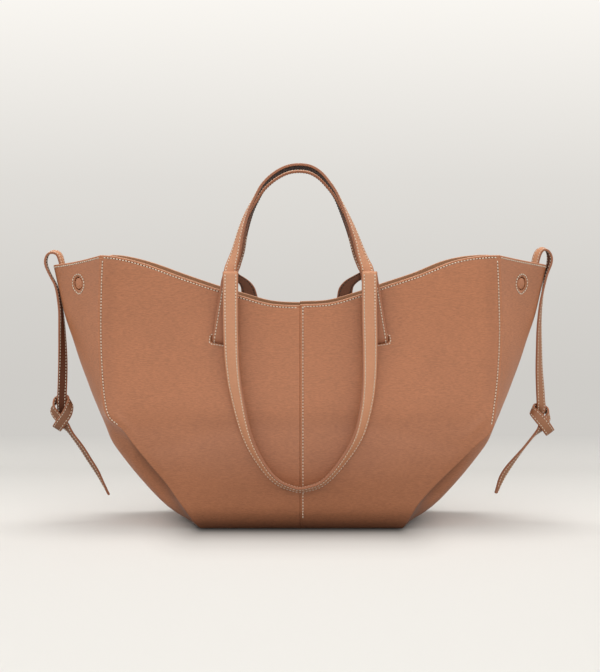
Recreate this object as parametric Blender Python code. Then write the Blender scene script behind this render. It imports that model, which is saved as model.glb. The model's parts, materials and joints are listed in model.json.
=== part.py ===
"""Winged leather tote bag with two short handles, two long straps and two knotted side ties.

Units are metres, +Z is up, -Y is the front, and the origin is the middle of the base on the floor.
The wall of the bag is one closed band around the body, read from a few tables of shares, and it is
cut at its seams into four panels and two wings (the side gussets). Everything sewn to the bag
takes its place from that band.
"""
import math

import bmesh
import bpy
from mathutils import Matrix, Vector

# Body of the bag
SEAM_HALF_WIDTH = 0.2080
SEAM_HEIGHT = 0.2850
TIP_HALF_WIDTH = 0.2640
TIP_DROP = 0.0110
RIM_CENTRE_HEIGHT = 0.2360
BASE_HALF_DEPTH = 0.0700
VALLEY_DEPTH = 0.0150
WALL_THICKNESS = 0.0020
BASE_THICKNESS = 0.0020
BOARD_THICKNESS = 0.0024
BOARD_INSET = 0.0042
TAPE_WIDTH = 0.0120
TAPE_THICKNESS = 0.0008
TAPE_END_MARGIN = 0.0080
SEWN_GAP = 0.0003

# Carrying straps
STRAP_WIDTH = 0.0162
STRAP_THICKNESS = 0.0030
STRAP_HALF_SPACING = 0.0718
SLOT_HALF_SPACING = 0.0832
SLOT_HEIGHT = 0.1965
SLOT_SIDE_CLEARANCE = 0.0006
HANDLE_HINGE_HEIGHT = 0.2720
HANDLE_HINGE_DEPTH = 0.0618
HANDLE_RISE = 0.1070
HANDLE_LEAN = math.radians(9.0)
FOLD_HEIGHT = 0.2655
LONG_STRAP_DROP = 0.2205
BACK_STRAP_DROP = 0.2270
STRAP_TAIL = 0.0260
PATCH_WIDTH = 0.0260
PATCH_HEIGHT = 0.0340
PATCH_THICKNESS = 0.0014

# Magnets in the wings
MAGNET_HEIGHT = 0.2550
MAGNET_AROUND_SHARE = 0.43
WINDOW_RADIUS = 0.0070
CAP_CLEARANCE = 0.0004
MAGNET_RADIUS = 0.0060
MAGNET_THICKNESS = 0.0020
MAGNET_PATCH_RADIUS = 0.0130
MAGNET_PATCH_THICKNESS = 0.0012
CUT_OVERRUN = 0.0040

# Side ties
TIE_WIDTH = 0.0096
TIE_THICKNESS = 0.0025
TIE_ANCHOR_DROP = 0.0300
TIE_ANCHOR_TOP_MARGIN = 0.0080
TIE_ANCHOR_CLEARANCE = 0.0005
KNOT_WIDTH = 0.0215
KNOT_DEPTH = 0.0130
KNOT_HEIGHT = 0.0330
KNOT_BAND_WIDTH = 0.0105
KNOT_BAND_THICKNESS = 0.0045
KNOT_BAND_TILT = math.radians(33.0)
KNOT_EDGE_RADIUS = 0.0020

# Mesh counts
PANEL_COLUMNS = 10
WALL_ROWS = 18
TAPE_ROWS = 20
STRAP_SEGMENTS = 44
TIE_SEGMENTS = 22
BEND_SEGMENTS = 5
DISC_SIDES = 24

# Outline tables. First value: share of the height (or of the way along), second: share of the size.
LEFT_SEAM_SHARES = (
    (0.000, 0.505), (0.045, 0.548), (0.100, 0.600), (0.170, 0.668), (0.240, 0.750), (0.310, 0.830),
    (0.370, 0.893), (0.387, 0.930), (0.408, 0.962), (0.450, 0.982), (0.545, 0.998), (0.700, 1.008),
    (0.880, 1.005), (1.000, 0.997),
)
RIGHT_SEAM_SHARES = (
    (0.000, 0.520), (0.045, 0.550), (0.100, 0.597), (0.170, 0.685), (0.240, 0.785), (0.310, 0.885),
    (0.345, 0.942), (0.372, 0.964), (0.450, 0.982), (0.545, 0.998), (0.700, 1.010), (0.880, 1.005),
    (1.000, 0.997),
)
TIP_SHARES = (
    (0.000, 0.432), (0.020, 0.478), (0.035, 0.508), (0.060, 0.545), (0.100, 0.590), (0.175, 0.660),
    (0.250, 0.722), (0.310, 0.765), (0.370, 0.790), (0.440, 0.817), (0.510, 0.848), (0.620, 0.892),
    (0.710, 0.922), (0.800, 0.953), (0.900, 0.977), (1.000, 1.000),
)
SEAM_DEPTH_SHARES = (
    (0.000, 0.885), (0.025, 0.945), (0.060, 0.990), (0.110, 1.010), (0.200, 1.005), (0.360, 0.955),
    (0.450, 0.915), (0.600, 0.865), (0.750, 0.835), (1.000, 0.825),
)
MIDDLE_DEPTH_SHARES = (
    (0.000, 0.885), (0.025, 0.965), (0.060, 1.035), (0.120, 1.080), (0.200, 1.100), (0.350, 1.045),
    (0.520, 0.935), (0.690, 0.850), (0.830, 0.810), (1.000, 0.800),
)
LEFT_RIM_SHARES = (
    (0.00, 0.000), (0.17, 0.040), (0.27, 0.130), (0.43, 0.313), (0.60, 0.560), (0.75, 0.775),
    (0.85, 0.903), (0.94, 0.985), (1.00, 1.000),
)
RIGHT_RIM_SHARES = (
    (0.00, 0.000), (0.15, 0.045), (0.30, 0.215), (0.43, 0.390), (0.60, 0.685), (0.75, 0.895),
    (0.85, 0.965), (0.94, 0.998), (1.00, 1.000),
)
VALLEY_SHARES = (
    (0.000, 0.000), (0.060, 0.350), (0.150, 0.850), (0.240, 1.000), (0.310, 0.800), (0.370, 0.300),
    (0.420, 0.000), (1.000, 0.000),
)
TIP_ROUND_SHARES = ((0.00, 0.90), (0.10, 0.55), (0.35, 0.30), (0.60, 0.16), (1.00, 0.10))
FOOT_ROW_SHARES = (0.0, 0.015, 0.035, 0.06, 0.09)
BASE_EXTRA_STATION_SHARES = (0.10, 3.90, 4.10, 7.90)
GUSSET_COLUMN_SHARES = (0.0, 0.07, 0.16, 0.28, 0.42, 0.57, 0.72, 0.85, 0.94, 1.0)
HANDLE_SHARES = (
    (-1.000, 0.000), (-0.915, 0.160), (-0.835, 0.375), (-0.745, 0.555), (-0.660, 0.670),
    (-0.555, 0.800), (-0.405, 0.897), (-0.225, 0.970), (0.000, 1.000), (0.140, 0.983),
    (0.290, 0.920), (0.425, 0.830), (0.530, 0.720), (0.635, 0.565), (0.750, 0.372),
    (0.855, 0.190), (1.000, 0.000),
)
FRONT_LOOP_SHARES = (
    (-1.000, 0.000), (-1.000, 0.155), (-0.990, 0.310), (-0.970, 0.425), (-0.915, 0.550),
    (-0.765, 0.745), (-0.585, 0.865), (-0.345, 0.960), (-0.070, 1.000), (0.070, 1.000),
    (0.320, 0.972), (0.580, 0.885), (0.825, 0.760), (0.935, 0.640), (0.990, 0.510),
    (1.005, 0.370), (1.000, 0.155), (1.000, 0.000),
)
BACK_LOOP_SHARES = (
    (-0.940, 0.000), (-0.800, 0.070), (-0.690, 0.170), (-0.620, 0.330), (-0.560, 0.520),
    (-0.475, 0.720), (-0.320, 0.900), (-0.130, 0.985), (0.000, 1.000), (0.130, 0.985),
    (0.320, 0.900), (0.475, 0.720), (0.560, 0.520), (0.620, 0.330), (0.690, 0.170),
    (0.800, 0.070), (0.940, 0.000),
)
FRONT_HANG_SHARES = ((0.00, 0.0), (0.30, 0.26), (0.60, 0.62), (0.80, 0.86), (1.00, 1.00))

# Ties: share of the wing's half span, share of the wing's height
LEFT_TIE_ROOT_SHARES = (
    (0.9400, 0.8600), (0.9500, 0.9200), (0.9640, 0.9850), (0.9740, 1.0180), (0.9880, 1.0450),
    (1.0010, 1.0520),
)
LEFT_TIE_DROP_SHARES = (
    (1.0010, 1.0520), (1.0180, 1.0440), (1.0280, 1.0200), (1.0250, 0.9900), (1.0130, 0.9500),
    (0.9985, 0.9050), (0.9860, 0.8600), (0.9760, 0.8130), (0.9680, 0.7300), (0.9640, 0.6300),
    (0.9650, 0.5450),
)
LEFT_TAIL_SHARES = ((0.8980, 0.2980), (0.8520, 0.2340), (0.8110, 0.1620), (0.7830, 0.0930))
RIGHT_TIE_ROOT_SHARES = (
    (0.9440, 0.8600), (0.9480, 0.9200), (0.9520, 0.9900), (0.9590, 1.0300), (0.9720, 1.0560),
    (0.9860, 1.0630),
)
RIGHT_TIE_DROP_SHARES = (
    (0.9860, 1.0630), (1.0030, 1.0550), (1.0130, 1.0300), (1.0110, 0.9950), (1.0030, 0.9500),
    (0.9905, 0.9050), (0.9790, 0.8600), (0.9715, 0.7600), (0.9730, 0.6400), (0.9770, 0.5450),
)
RIGHT_TAIL_SHARES = ((0.9100, 0.2750), (0.8450, 0.2040), (0.8120, 0.1400), (0.7990, 0.0970))
LEFT_KNOT_SHARES = (0.9690, 0.4130)
RIGHT_KNOT_SHARES = (0.9870, 0.3910)
KNOT_CORE_SHARE = 0.78
KNOT_CORE_DEPTH_SHARE = 0.62

COLOURS = {
    "body_leather": ((0.42, 0.185, 0.093, 1.0), 0.55, 0.0),
    "strap_leather": ((0.47, 0.22, 0.12, 1.0), 0.50, 0.0),
    "inner_leather": ((0.36, 0.17, 0.09, 1.0), 0.75, 0.0),
    "board": ((0.10, 0.08, 0.07, 1.0), 0.80, 0.0),
    "tape": ((0.30, 0.20, 0.14, 1.0), 0.85, 0.0),
    "magnet": ((0.60, 0.60, 0.60, 1.0), 0.30, 1.0),
}
SIDES = {"left": -1.0, "right": 1.0}
FACES = {"front": -1.0, "back": 1.0}

TIP_HEIGHT = SEAM_HEIGHT - TIP_DROP
BOTTOM = BASE_THICKNESS + SEWN_GAP
LAYER_STEP = STRAP_THICKNESS + SEWN_GAP
INNER_LAYER = SEWN_GAP + STRAP_THICKNESS / 2.0
OUTER_LAYER = INNER_LAYER + LAYER_STEP
SLOT_LEAN = math.atan2(SLOT_HALF_SPACING - STRAP_HALF_SPACING, HANDLE_HINGE_HEIGHT - SLOT_HEIGHT)


def curve_at(table, share):
    """Smooth value of a table of (share, value) pairs."""
    if share <= table[0][0]:
        return table[0][1]
    if share >= table[-1][0]:
        return table[-1][1]
    index = 0
    while table[index + 1][0] < share:
        index += 1

    def slope(k):
        low, high = max(k - 1, 0), min(k + 1, len(table) - 1)
        return (table[high][1] - table[low][1]) / (table[high][0] - table[low][0])

    step = table[index + 1][0] - table[index][0]
    t = (share - table[index][0]) / step
    a, b = table[index][1], table[index + 1][1]
    m0, m1 = slope(index) * step, slope(index + 1) * step
    return (a * (2 * t**3 - 3 * t**2 + 1) + m0 * (t**3 - 2 * t**2 + t)
            + b * (3 * t**2 - 2 * t**3) + m1 * (t**3 - t**2))


def smooth_path(points, count):
    """Evenly spaced points of a smooth curve through 3-D points."""
    lengths = [0.0]
    for a, b in zip(points, points[1:]):
        lengths.append(lengths[-1] + (b - a).length)
    total = lengths[-1]
    axes = [[(s / total, p[k]) for s, p in zip(lengths, points)] for k in range(3)]
    return [Vector([curve_at(axis, i / count) for axis in axes]) for i in range(count + 1)]


def seam_half_width(side, height):
    table = LEFT_SEAM_SHARES if side < 0.0 else RIGHT_SEAM_SHARES
    return SEAM_HALF_WIDTH * curve_at(table, height / SEAM_HEIGHT)


def panel_depth(across, height):
    """Half depth of the bag at a share of the way from the centre seam to the side seam."""
    middle = curve_at(MIDDLE_DEPTH_SHARES, height / SEAM_HEIGHT)
    edge = curve_at(SEAM_DEPTH_SHARES, height / SEAM_HEIGHT)
    return BASE_HALF_DEPTH * (middle + (edge - middle) * across**2)


def rim_height(side, across):
    """Height of the mouth's edge over a panel."""
    table = LEFT_RIM_SHARES if side < 0.0 else RIGHT_RIM_SHARES
    return RIM_CENTRE_HEIGHT + (SEAM_HEIGHT - RIM_CENTRE_HEIGHT) * curve_at(table, across)


def panel_point(side, facing, across, up):
    height = BOTTOM + up * (rim_height(side, across) - BOTTOM)
    return Vector((side * across * seam_half_width(side, height),
                   facing * panel_depth(across, height), height))


def gusset_point(side, facing, around, up):
    """A point of a wing: around is 0 at the panel's seam and 1 at the tip's fold."""
    height = BOTTOM + up * (SEAM_HEIGHT + around * (TIP_HEIGHT - SEAM_HEIGHT) - BOTTOM)
    seam = seam_half_width(side, height)
    tip = TIP_HALF_WIDTH * curve_at(TIP_SHARES, height / TIP_HEIGHT)
    depth = panel_depth(1.0, height)
    roundness = curve_at(TIP_ROUND_SHARES, height / SEAM_HEIGHT)
    inward = 1.0 - around
    fall = (math.hypot(inward, roundness) - roundness) / (math.hypot(1.0, roundness) - roundness)
    valley = VALLEY_DEPTH * curve_at(VALLEY_SHARES, height / SEAM_HEIGHT)
    valley *= math.sin(math.pi * around**0.75)**2
    return Vector((side * (tip - (tip - seam) * fall - valley),
                   facing * (depth * inward - valley * inward / 2.0), height))


def band_point(u, up):
    """The wall as one band: u runs from the front centre seam round the right wing, 0 to 8."""
    u = u % 8.0
    if u <= 1.0:
        return panel_point(1.0, -1.0, u, up)
    if u <= 2.0:
        return gusset_point(1.0, -1.0, u - 1.0, up)
    if u <= 3.0:
        return gusset_point(1.0, 1.0, 3.0 - u, up)
    if u <= 4.0:
        return panel_point(1.0, 1.0, 4.0 - u, up)
    if u <= 5.0:
        return panel_point(-1.0, 1.0, u - 4.0, up)
    if u <= 6.0:
        return gusset_point(-1.0, 1.0, u - 5.0, up)
    if u <= 7.0:
        return gusset_point(-1.0, -1.0, 7.0 - u, up)
    return panel_point(-1.0, -1.0, 8.0 - u, up)


def band_frame(u, up):
    """Point, outward, upward and lengthwise directions of the wall, mitred at a seam."""
    step_share = 0.02
    mitre_limit_share = 0.72
    point = band_point(u, up)
    ahead = (band_point(u + step_share, up) - point).normalized()
    behind = (point - band_point(u - step_share, up)).normalized()
    low, high = max(up - step_share, 0.0), min(up + step_share, 1.0)
    rise = (band_point(u, high) - band_point(u, low)).normalized()
    along = ahead + behind
    mitre = max(along.length / 2.0, mitre_limit_share)
    outward = along.cross(rise).normalized()
    return point, outward / mitre, rise, along.normalized()


def wall(u, up, depth):
    """A point under the wall's outer face, at a depth into the leather."""
    point, outward, _, _ = band_frame(u, up)
    return point - outward * depth


def up_at_height(u, height):
    top = band_point(u, 1.0).z
    return (height - BOTTOM) / (top - BOTTOM)


def make_material(name):
    material = bpy.data.materials.get(name)
    if material is None:
        colour, roughness, metallic = COLOURS[name]
        material = bpy.data.materials.new(name)
        material.use_nodes = True
        shader = material.node_tree.nodes["Principled BSDF"]
        shader.inputs["Base Color"].default_value = colour
        shader.inputs["Roughness"].default_value = roughness
        shader.inputs["Metallic"].default_value = metallic
    return material


def add_object(name, vertices, faces, material, parent=None):
    """A named object from vertices and faces, with its faces turned outward."""
    mesh = bpy.data.meshes.new(name)
    mesh.from_pydata([tuple(v) for v in vertices], [], faces)
    edit = bmesh.new()
    edit.from_mesh(mesh)
    bmesh.ops.recalc_face_normals(edit, faces=edit.faces)
    edit.to_mesh(mesh)
    edit.free()
    obj = bpy.data.objects.new(name, mesh)
    bpy.context.scene.collection.objects.link(obj)
    if material is not None:
        mesh.materials.append(make_material(material))
    if parent is not None:
        obj.parent = parent
        obj.matrix_parent_inverse = parent.matrix_world.inverted()
    return obj


def add_pivot(name, place):
    """An empty on a joint's axis, which carries the moving pieces."""
    pivot = bpy.data.objects.new(name, None)
    bpy.context.scene.collection.objects.link(pivot)
    pivot.location = place
    bpy.context.view_layer.update()
    return pivot


def grid_solid(name, outer, inner, material):
    """A closed sheet between two grids of points, both given as rows of equal length."""
    rows, columns = len(outer), len(outer[0])
    vertices = [p for row in outer for p in row] + [p for row in inner for p in row]
    shift = rows * columns
    faces = []
    for j in range(rows - 1):
        for i in range(columns - 1):
            a = j * columns + i
            faces.append((a, a + 1, a + columns + 1, a + columns))
            faces.append((a + shift, a + shift + columns, a + shift + columns + 1, a + shift + 1))
    border = [i for i in range(columns)]
    border += [j * columns + columns - 1 for j in range(1, rows)]
    border += [(rows - 1) * columns + i for i in range(columns - 2, -1, -1)]
    border += [j * columns for j in range(rows - 2, 0, -1)]
    for a, b in zip(border, border[1:] + border[:1]):
        faces.append((a, a + shift, b + shift, b))
    return add_object(name, vertices, faces, material)


def wall_rows():
    """Shares of the wall's height that have a row of points, closer at the foot where it rounds."""
    last = FOOT_ROW_SHARES[-1]
    return list(FOOT_ROW_SHARES) + [last + (1.0 - last) * j / WALL_ROWS for j in range(1, WALL_ROWS + 1)]


def wall_piece(name, stations, material):
    """One leather piece of the wall, a hair short of the seams at its two upright edges."""
    grids = []
    for depth in (0.0, WALL_THICKNESS):
        rows = []
        for up in wall_rows():
            row = [wall(u, up, depth) for u in stations]
            row[0] += band_frame(stations[0], up)[3] * SEWN_GAP / 2.0
            row[-1] -= band_frame(stations[-1], up)[3] * SEWN_GAP / 2.0
            rows.append(row)
        grids.append(rows)
    return grid_solid(name, grids[0], grids[1], material)


def cut(target, vertices, faces, name):
    """Cuts a closed shape out of an object, and keeps the cutter as a guide."""
    cutter = add_object(name, vertices, faces, None)
    cutter.hide_render = True
    cutter.display_type = "WIRE"
    modifier = target.modifiers.new(name, "BOOLEAN")
    modifier.operation = "DIFFERENCE"
    modifier.object = cutter


def box_shape(centre, across, upward, outward, width, height, depth):
    """Vertices and faces of a box with its own three directions."""
    corners = []
    for c in (-0.5, 0.5):
        for b in (-0.5, 0.5):
            for a in (-0.5, 0.5):
                corners.append(centre + across * a * width + upward * b * height + outward * c * depth)
    faces = [(0, 1, 3, 2), (4, 6, 7, 5), (0, 4, 5, 1), (2, 3, 7, 6), (0, 2, 6, 4), (1, 5, 7, 3)]
    return corners, faces


def disc_shape(centre, outward, radius, thickness):
    """Vertices and faces of a round disc, from centre inward by its thickness."""
    across = outward.orthogonal().normalized()
    upward = outward.cross(across).normalized()
    vertices = []
    for level in (0.0, thickness):
        for k in range(DISC_SIDES):
            angle = 2.0 * math.pi * k / DISC_SIDES
            spoke = across * math.cos(angle) + upward * math.sin(angle)
            vertices.append(centre - outward * level + spoke * radius)
    ring = range(DISC_SIDES)
    faces = [tuple(ring), tuple(reversed([k + DISC_SIDES for k in ring]))]
    for k in ring:
        n = (k + 1) % DISC_SIDES
        faces.append((k, k + DISC_SIDES, n + DISC_SIDES, n))
    return vertices, faces


def ribbon(name, points, normals, width, thickness, material, parent=None, round_start=False,
           round_end=False, level_ends=()):
    """A flat strap swept along points, with its face turned to the given directions.

    level_ends lists the ends (0 the first, -1 the last) that are cut level, along the X axis.
    """
    sections = []
    last = len(points) - 1
    for i, (point, normal) in enumerate(zip(points, normals)):
        tangent = (points[min(i + 1, last)] - points[max(i - 1, 0)]).normalized()
        side = tangent.cross(normal).normalized()
        if (i == 0 and 0 in level_ends) or (i == last and -1 in level_ends):
            side = Vector((math.copysign(1.0, side.x), 0.0, 0.0))
        face = side.cross(tangent).normalized()
        sections.append((point, side, face, thickness))

    def rounding(section, direction):
        point, side, face, _ = section
        steps = []
        for angle in (math.radians(30.0), math.radians(58.0), math.radians(80.0)):
            shift = face.cross(side) * direction * math.sin(angle) * thickness / 2.0
            steps.append((point + shift, side, face, thickness * math.cos(angle)))
        return steps

    if round_start:
        sections = rounding(sections[0], -1.0)[::-1] + sections
    if round_end:
        sections = sections + rounding(sections[-1], 1.0)
    vertices, faces = [], []
    for point, side, face, thick in sections:
        for a, b in ((-0.5, -0.5), (0.5, -0.5), (0.5, 0.5), (-0.5, 0.5)):
            vertices.append(point + side * a * width + face * b * thick)
    for i in range(len(sections) - 1):
        for k in range(4):
            n = (k + 1) % 4
            faces.append((4 * i + k, 4 * i + n, 4 * i + 4 + n, 4 * i + 4 + k))
    faces.append((0, 3, 2, 1))
    end = 4 * (len(sections) - 1)
    faces.append((end, end + 1, end + 2, end + 3))
    return add_object(name, vertices, faces, material, parent)


def build_wall():
    """Four panels and two wings, with their seams half a gap away on each side."""
    ahead = [i / PANEL_COLUMNS for i in range(PANEL_COLUMNS + 1)]
    wing = list(GUSSET_COLUMN_SHARES) + [2.0 - s for s in reversed(GUSSET_COLUMN_SHARES[:-1])]
    stations = {
        "front_right_panel": [s for s in ahead],
        "back_right_panel": [3.0 + s for s in ahead],
        "back_left_panel": [4.0 + s for s in ahead],
        "front_left_panel": [7.0 + s for s in ahead],
        "right_gusset": [1.0 + s for s in wing],
        "left_gusset": [5.0 + s for s in wing],
    }
    return {name: wall_piece(name, u, "body_leather") for name, u in stations.items()}


def base_outline(inset):
    """The foot of the wall seen from above, drawn in by an inset."""
    outline = []
    stations = [k / 4.0 for k in range(32)] + list(BASE_EXTRA_STATION_SHARES)
    for u in sorted(stations):
        point, outward, _, _ = band_frame(u, 0.0)
        flat = Vector((outward.x, outward.y, 0.0)).normalized()
        outline.append(Vector((point.x, point.y, 0.0)) - flat * inset)
    return outline


def flat_plate(name, outline, bottom, thickness, material):
    count = len(outline)
    vertices = [p + Vector((0.0, 0.0, bottom)) for p in outline]
    vertices += [p + Vector((0.0, 0.0, bottom + thickness)) for p in outline]
    faces = [tuple(range(count)), tuple(range(2 * count - 1, count - 1, -1))]
    faces += [(k, k + count, (k + 1) % count + count, (k + 1) % count) for k in range(count)]
    return add_object(name, vertices, faces, material)


def build_base():
    """The leather base under the wall, and the stiff board that lies on it."""
    flat_plate("base_panel", base_outline(0.0), 0.0, BASE_THICKNESS, "body_leather")
    flat_plate("base_board", base_outline(BOARD_INSET), BOTTOM, BOARD_THICKNESS, "board")


def build_seam_tapes():
    """A tape sewn inside each centre seam."""
    for face_name, facing in FACES.items():
        u = 0.0 if facing < 0.0 else 4.0
        top = RIM_CENTRE_HEIGHT - TAPE_END_MARGIN
        low = BOTTOM + BOARD_THICKNESS + TAPE_END_MARGIN
        depth = WALL_THICKNESS + SEWN_GAP + TAPE_THICKNESS / 2.0
        points, normals = [], []
        for j in range(TAPE_ROWS + 1):
            height = low + (top - low) * j / TAPE_ROWS
            up = up_at_height(u, height)
            points.append(wall(u, up, depth))
            normals.append(Vector((0.0, facing, 0.0)))
        ribbon(face_name + "_seam_tape", points, normals, TAPE_WIDTH, TAPE_THICKNESS, "tape")


def slot_frame(side, facing):
    """Where a strap slot sits on the wall: place, strap direction, across, outward and strap tip."""
    across_share = SLOT_HALF_SPACING / seam_half_width(side, SLOT_HEIGHT)
    if facing < 0.0:
        u = across_share if side > 0.0 else 8.0 - across_share
    else:
        u = 4.0 - across_share if side > 0.0 else 4.0 + across_share
    point, outward, rise, _ = band_frame(u, up_at_height(u, SLOT_HEIGHT))
    outward = Vector((0.0, outward.y, outward.z)).normalized()
    level = Vector((side, 0.0, 0.0))
    rise = Vector((0.0, rise.y, rise.z)).normalized()
    upward = (rise * math.cos(SLOT_LEAN) - level * math.sin(SLOT_LEAN)).normalized()
    across = upward.cross(outward).normalized()
    return point, upward, across, outward


def threaded_root(name, side, facing, layer, top, material):
    """A strap's fixed end: a sewn tail inside, a turn through the slot, and the rise outside.

    layer 0 lies next to the wall outside (the short handle), layer 1 lies over it (the long strap).
    """
    place, upward, _, outward = slot_frame(side, facing)
    outside = INNER_LAYER if layer == 0 else OUTER_LAYER
    inside = OUTER_LAYER if layer == 0 else INNER_LAYER
    crossing = (LAYER_STEP / 2.0) * (1.0 if layer == 0 else -1.0)
    half_slot = LAYER_STEP / 2.0 + INNER_LAYER
    points, normals = [], []

    def put(u, w, normal_u, normal_w):
        points.append(place + upward * u + outward * w)
        normals.append((upward * normal_u + outward * normal_w).normalized())

    inner_face = -WALL_THICKNESS
    put(-half_slot - STRAP_TAIL, inner_face - inside, 0.0, 1.0)
    put(-half_slot - STRAP_TAIL / 2.0, inner_face - inside, 0.0, 1.0)
    for k in range(BEND_SEGMENTS + 1):
        angle = math.pi / 2.0 * k / BEND_SEGMENTS
        put(-half_slot + inside * math.sin(angle), inner_face - inside * math.cos(angle),
            -math.sin(angle), math.cos(angle))
    for k in range(BEND_SEGMENTS + 1):
        angle = math.pi / 2.0 * k / BEND_SEGMENTS
        put(half_slot - outside * math.cos(angle), outside * math.sin(angle),
            -math.cos(angle), math.sin(angle))
    start = points[-1]
    straight = 6
    for k in range(1, straight + 1):
        points.append(start.lerp(top, k / straight))
        normals.append(Vector((0.0, facing, 0.0)))
    return ribbon(name, points, normals, STRAP_WIDTH, STRAP_THICKNESS, material, level_ends=(-1,))


def build_strap_corner(side_name, face_name, panels):
    """A slot, the two strap ends threaded through it, and the patch over their tails."""
    side, facing = SIDES[side_name], FACES[face_name]
    label = face_name + "_" + side_name
    place, upward, across, outward = slot_frame(side, facing)
    tall = LAYER_STEP + 2.0 * INNER_LAYER
    corners, faces = box_shape(place - outward * WALL_THICKNESS / 2.0, across, upward, outward,
                               STRAP_WIDTH + 2.0 * SLOT_SIDE_CLEARANCE, tall,
                               WALL_THICKNESS + 2.0 * CUT_OVERRUN)
    cut(panels[label + "_panel"], corners, faces, label + "_slot_cutter")
    handle_top = Vector((side * STRAP_HALF_SPACING, facing * HANDLE_HINGE_DEPTH,
                         HANDLE_HINGE_HEIGHT - STRAP_THICKNESS / 2.0 - SEWN_GAP))
    threaded_root(label + "_handle_root", side, facing, 0, handle_top, "strap_leather")
    strap_top = Vector((side * STRAP_HALF_SPACING, facing * (HANDLE_HINGE_DEPTH + LAYER_STEP),
                        FOLD_HEIGHT - SEWN_GAP))
    threaded_root(label + "_strap_root", side, facing, 1, strap_top, "strap_leather")
    patch_depth = WALL_THICKNESS + OUTER_LAYER + INNER_LAYER + PATCH_THICKNESS / 2.0
    half_slot = LAYER_STEP / 2.0 + INNER_LAYER
    patch_centre = place - outward * patch_depth - upward * (half_slot + STRAP_TAIL / 2.0)
    corners, faces = box_shape(patch_centre, across, upward, outward, PATCH_WIDTH, PATCH_HEIGHT,
                               PATCH_THICKNESS)
    add_object(label + "_anchor_patch", corners, faces, "inner_leather")


def arch_sections(facing):
    """Centre line and face directions of a short handle, from the left leg to the right."""
    forward = Vector((0.0, facing, 0.0))
    lean = Matrix.Rotation(facing * HANDLE_LEAN, 3, "X")
    foot = Vector((0.0, facing * HANDLE_HINGE_DEPTH, HANDLE_HINGE_HEIGHT))
    shape = [Vector((x * STRAP_HALF_SPACING, 0.0, z * HANDLE_RISE)) for x, z in HANDLE_SHARES]
    points = smooth_path(shape, STRAP_SEGMENTS)
    normals = []
    for i, point in enumerate(points):
        before, after = points[max(i - 1, 0)], points[min(i + 1, STRAP_SEGMENTS)]
        tangent = (after - before).normalized()
        outward = Vector((-tangent.z, 0.0, tangent.x))
        turn = math.pi / 2.0 * math.sin(math.pi * i / STRAP_SEGMENTS)**1.2
        if i in (0, STRAP_SEGMENTS):
            normals.append(forward)
        else:
            normals.append(forward * math.cos(turn) + outward * math.sin(turn))
    return [foot + lean @ p for p in points], [lean @ n for n in normals]


def build_handle(face_name):
    """A short handle above its hinge line, where the leather bends."""
    facing = FACES[face_name]
    foot = Vector((0.0, facing * HANDLE_HINGE_DEPTH, HANDLE_HINGE_HEIGHT))
    pivot = add_pivot(face_name + "_handle_pivot", foot)
    points, normals = arch_sections(facing)
    ribbon(face_name + "_handle", points, normals, STRAP_WIDTH, STRAP_THICKNESS, "strap_leather",
           pivot, round_start=True, round_end=True, level_ends=(0, -1))


def hanging_sections(facing, shares, drop, turn_limit):
    """Centre line and face directions of a long strap that hangs in a loop outside the bag."""
    top_depth = HANDLE_HINGE_DEPTH + 2.0 * LAYER_STEP
    top = FOLD_HEIGHT - SEWN_GAP
    rest = BASE_HALF_DEPTH * max(value for _, value in MIDDLE_DEPTH_SHARES)
    bottom_depth = rest + STRAP_WIDTH * math.sin(turn_limit) / 2.0 + LAYER_STEP
    points = []
    for x, down in shares:
        depth = top_depth + (bottom_depth - top_depth) * curve_at(FRONT_HANG_SHARES, down)
        points.append(Vector((x * STRAP_HALF_SPACING, facing * depth, top - down * drop)))
    points = smooth_path(points, STRAP_SEGMENTS)
    normals = []
    for i, point in enumerate(points):
        before, after = points[max(i - 1, 0)], points[min(i + 1, STRAP_SEGMENTS)]
        tangent = (after - before).normalized()
        outward = Vector((tangent.z, 0.0, -tangent.x)).normalized()
        turn = turn_limit * math.sin(math.pi * i / STRAP_SEGMENTS)**2.2
        forward = Vector((0.0, facing, 0.0))
        normals.append(forward * math.cos(turn) + outward * math.sin(turn))
    return points, normals


def build_long_strap(face_name, shares, drop):
    """A long strap hanging from its fold, with the pivot between its two layers."""
    facing = FACES[face_name]
    pivot_depth = HANDLE_HINGE_DEPTH + 1.5 * LAYER_STEP
    pivot = add_pivot(face_name + "_long_strap_pivot", Vector((0.0, facing * pivot_depth, FOLD_HEIGHT)))
    points, normals = hanging_sections(facing, shares, drop, math.radians(72.0))
    ribbon(face_name + "_long_strap", points, normals, STRAP_WIDTH, STRAP_THICKNESS, "strap_leather",
           pivot, level_ends=(0, -1))


def build_magnets(side_name, wings):
    """Round windows in a wing, each with its leather cap, magnet and backing patch."""
    wing = wings[side_name + "_gusset"]
    for face_name in FACES:
        if side_name == "right":
            u = 1.0 + MAGNET_AROUND_SHARE if face_name == "front" else 3.0 - MAGNET_AROUND_SHARE
        else:
            u = 7.0 - MAGNET_AROUND_SHARE if face_name == "front" else 5.0 + MAGNET_AROUND_SHARE
        place, outward, _, _ = band_frame(u, up_at_height(u, MAGNET_HEIGHT))
        outward = outward.normalized()
        label = side_name + "_" + face_name
        depth = WALL_THICKNESS + 2.0 * CUT_OVERRUN
        vertices, faces = disc_shape(place + outward * CUT_OVERRUN, outward, WINDOW_RADIUS, depth)
        cut(wing, vertices, faces, label + "_window_cutter")
        stack = (
            ("magnet_cap", WINDOW_RADIUS - CAP_CLEARANCE, WALL_THICKNESS, "strap_leather"),
            ("magnet", MAGNET_RADIUS, MAGNET_THICKNESS, "magnet"),
            ("magnet_patch", MAGNET_PATCH_RADIUS, MAGNET_PATCH_THICKNESS, "inner_leather"),
        )
        level = 0.0
        for piece, radius, thickness, material in stack:
            vertices, faces = disc_shape(place - outward * level, outward, radius, thickness)
            add_object(label + "_" + piece, vertices, faces, material)
            level += thickness + SEWN_GAP


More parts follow.
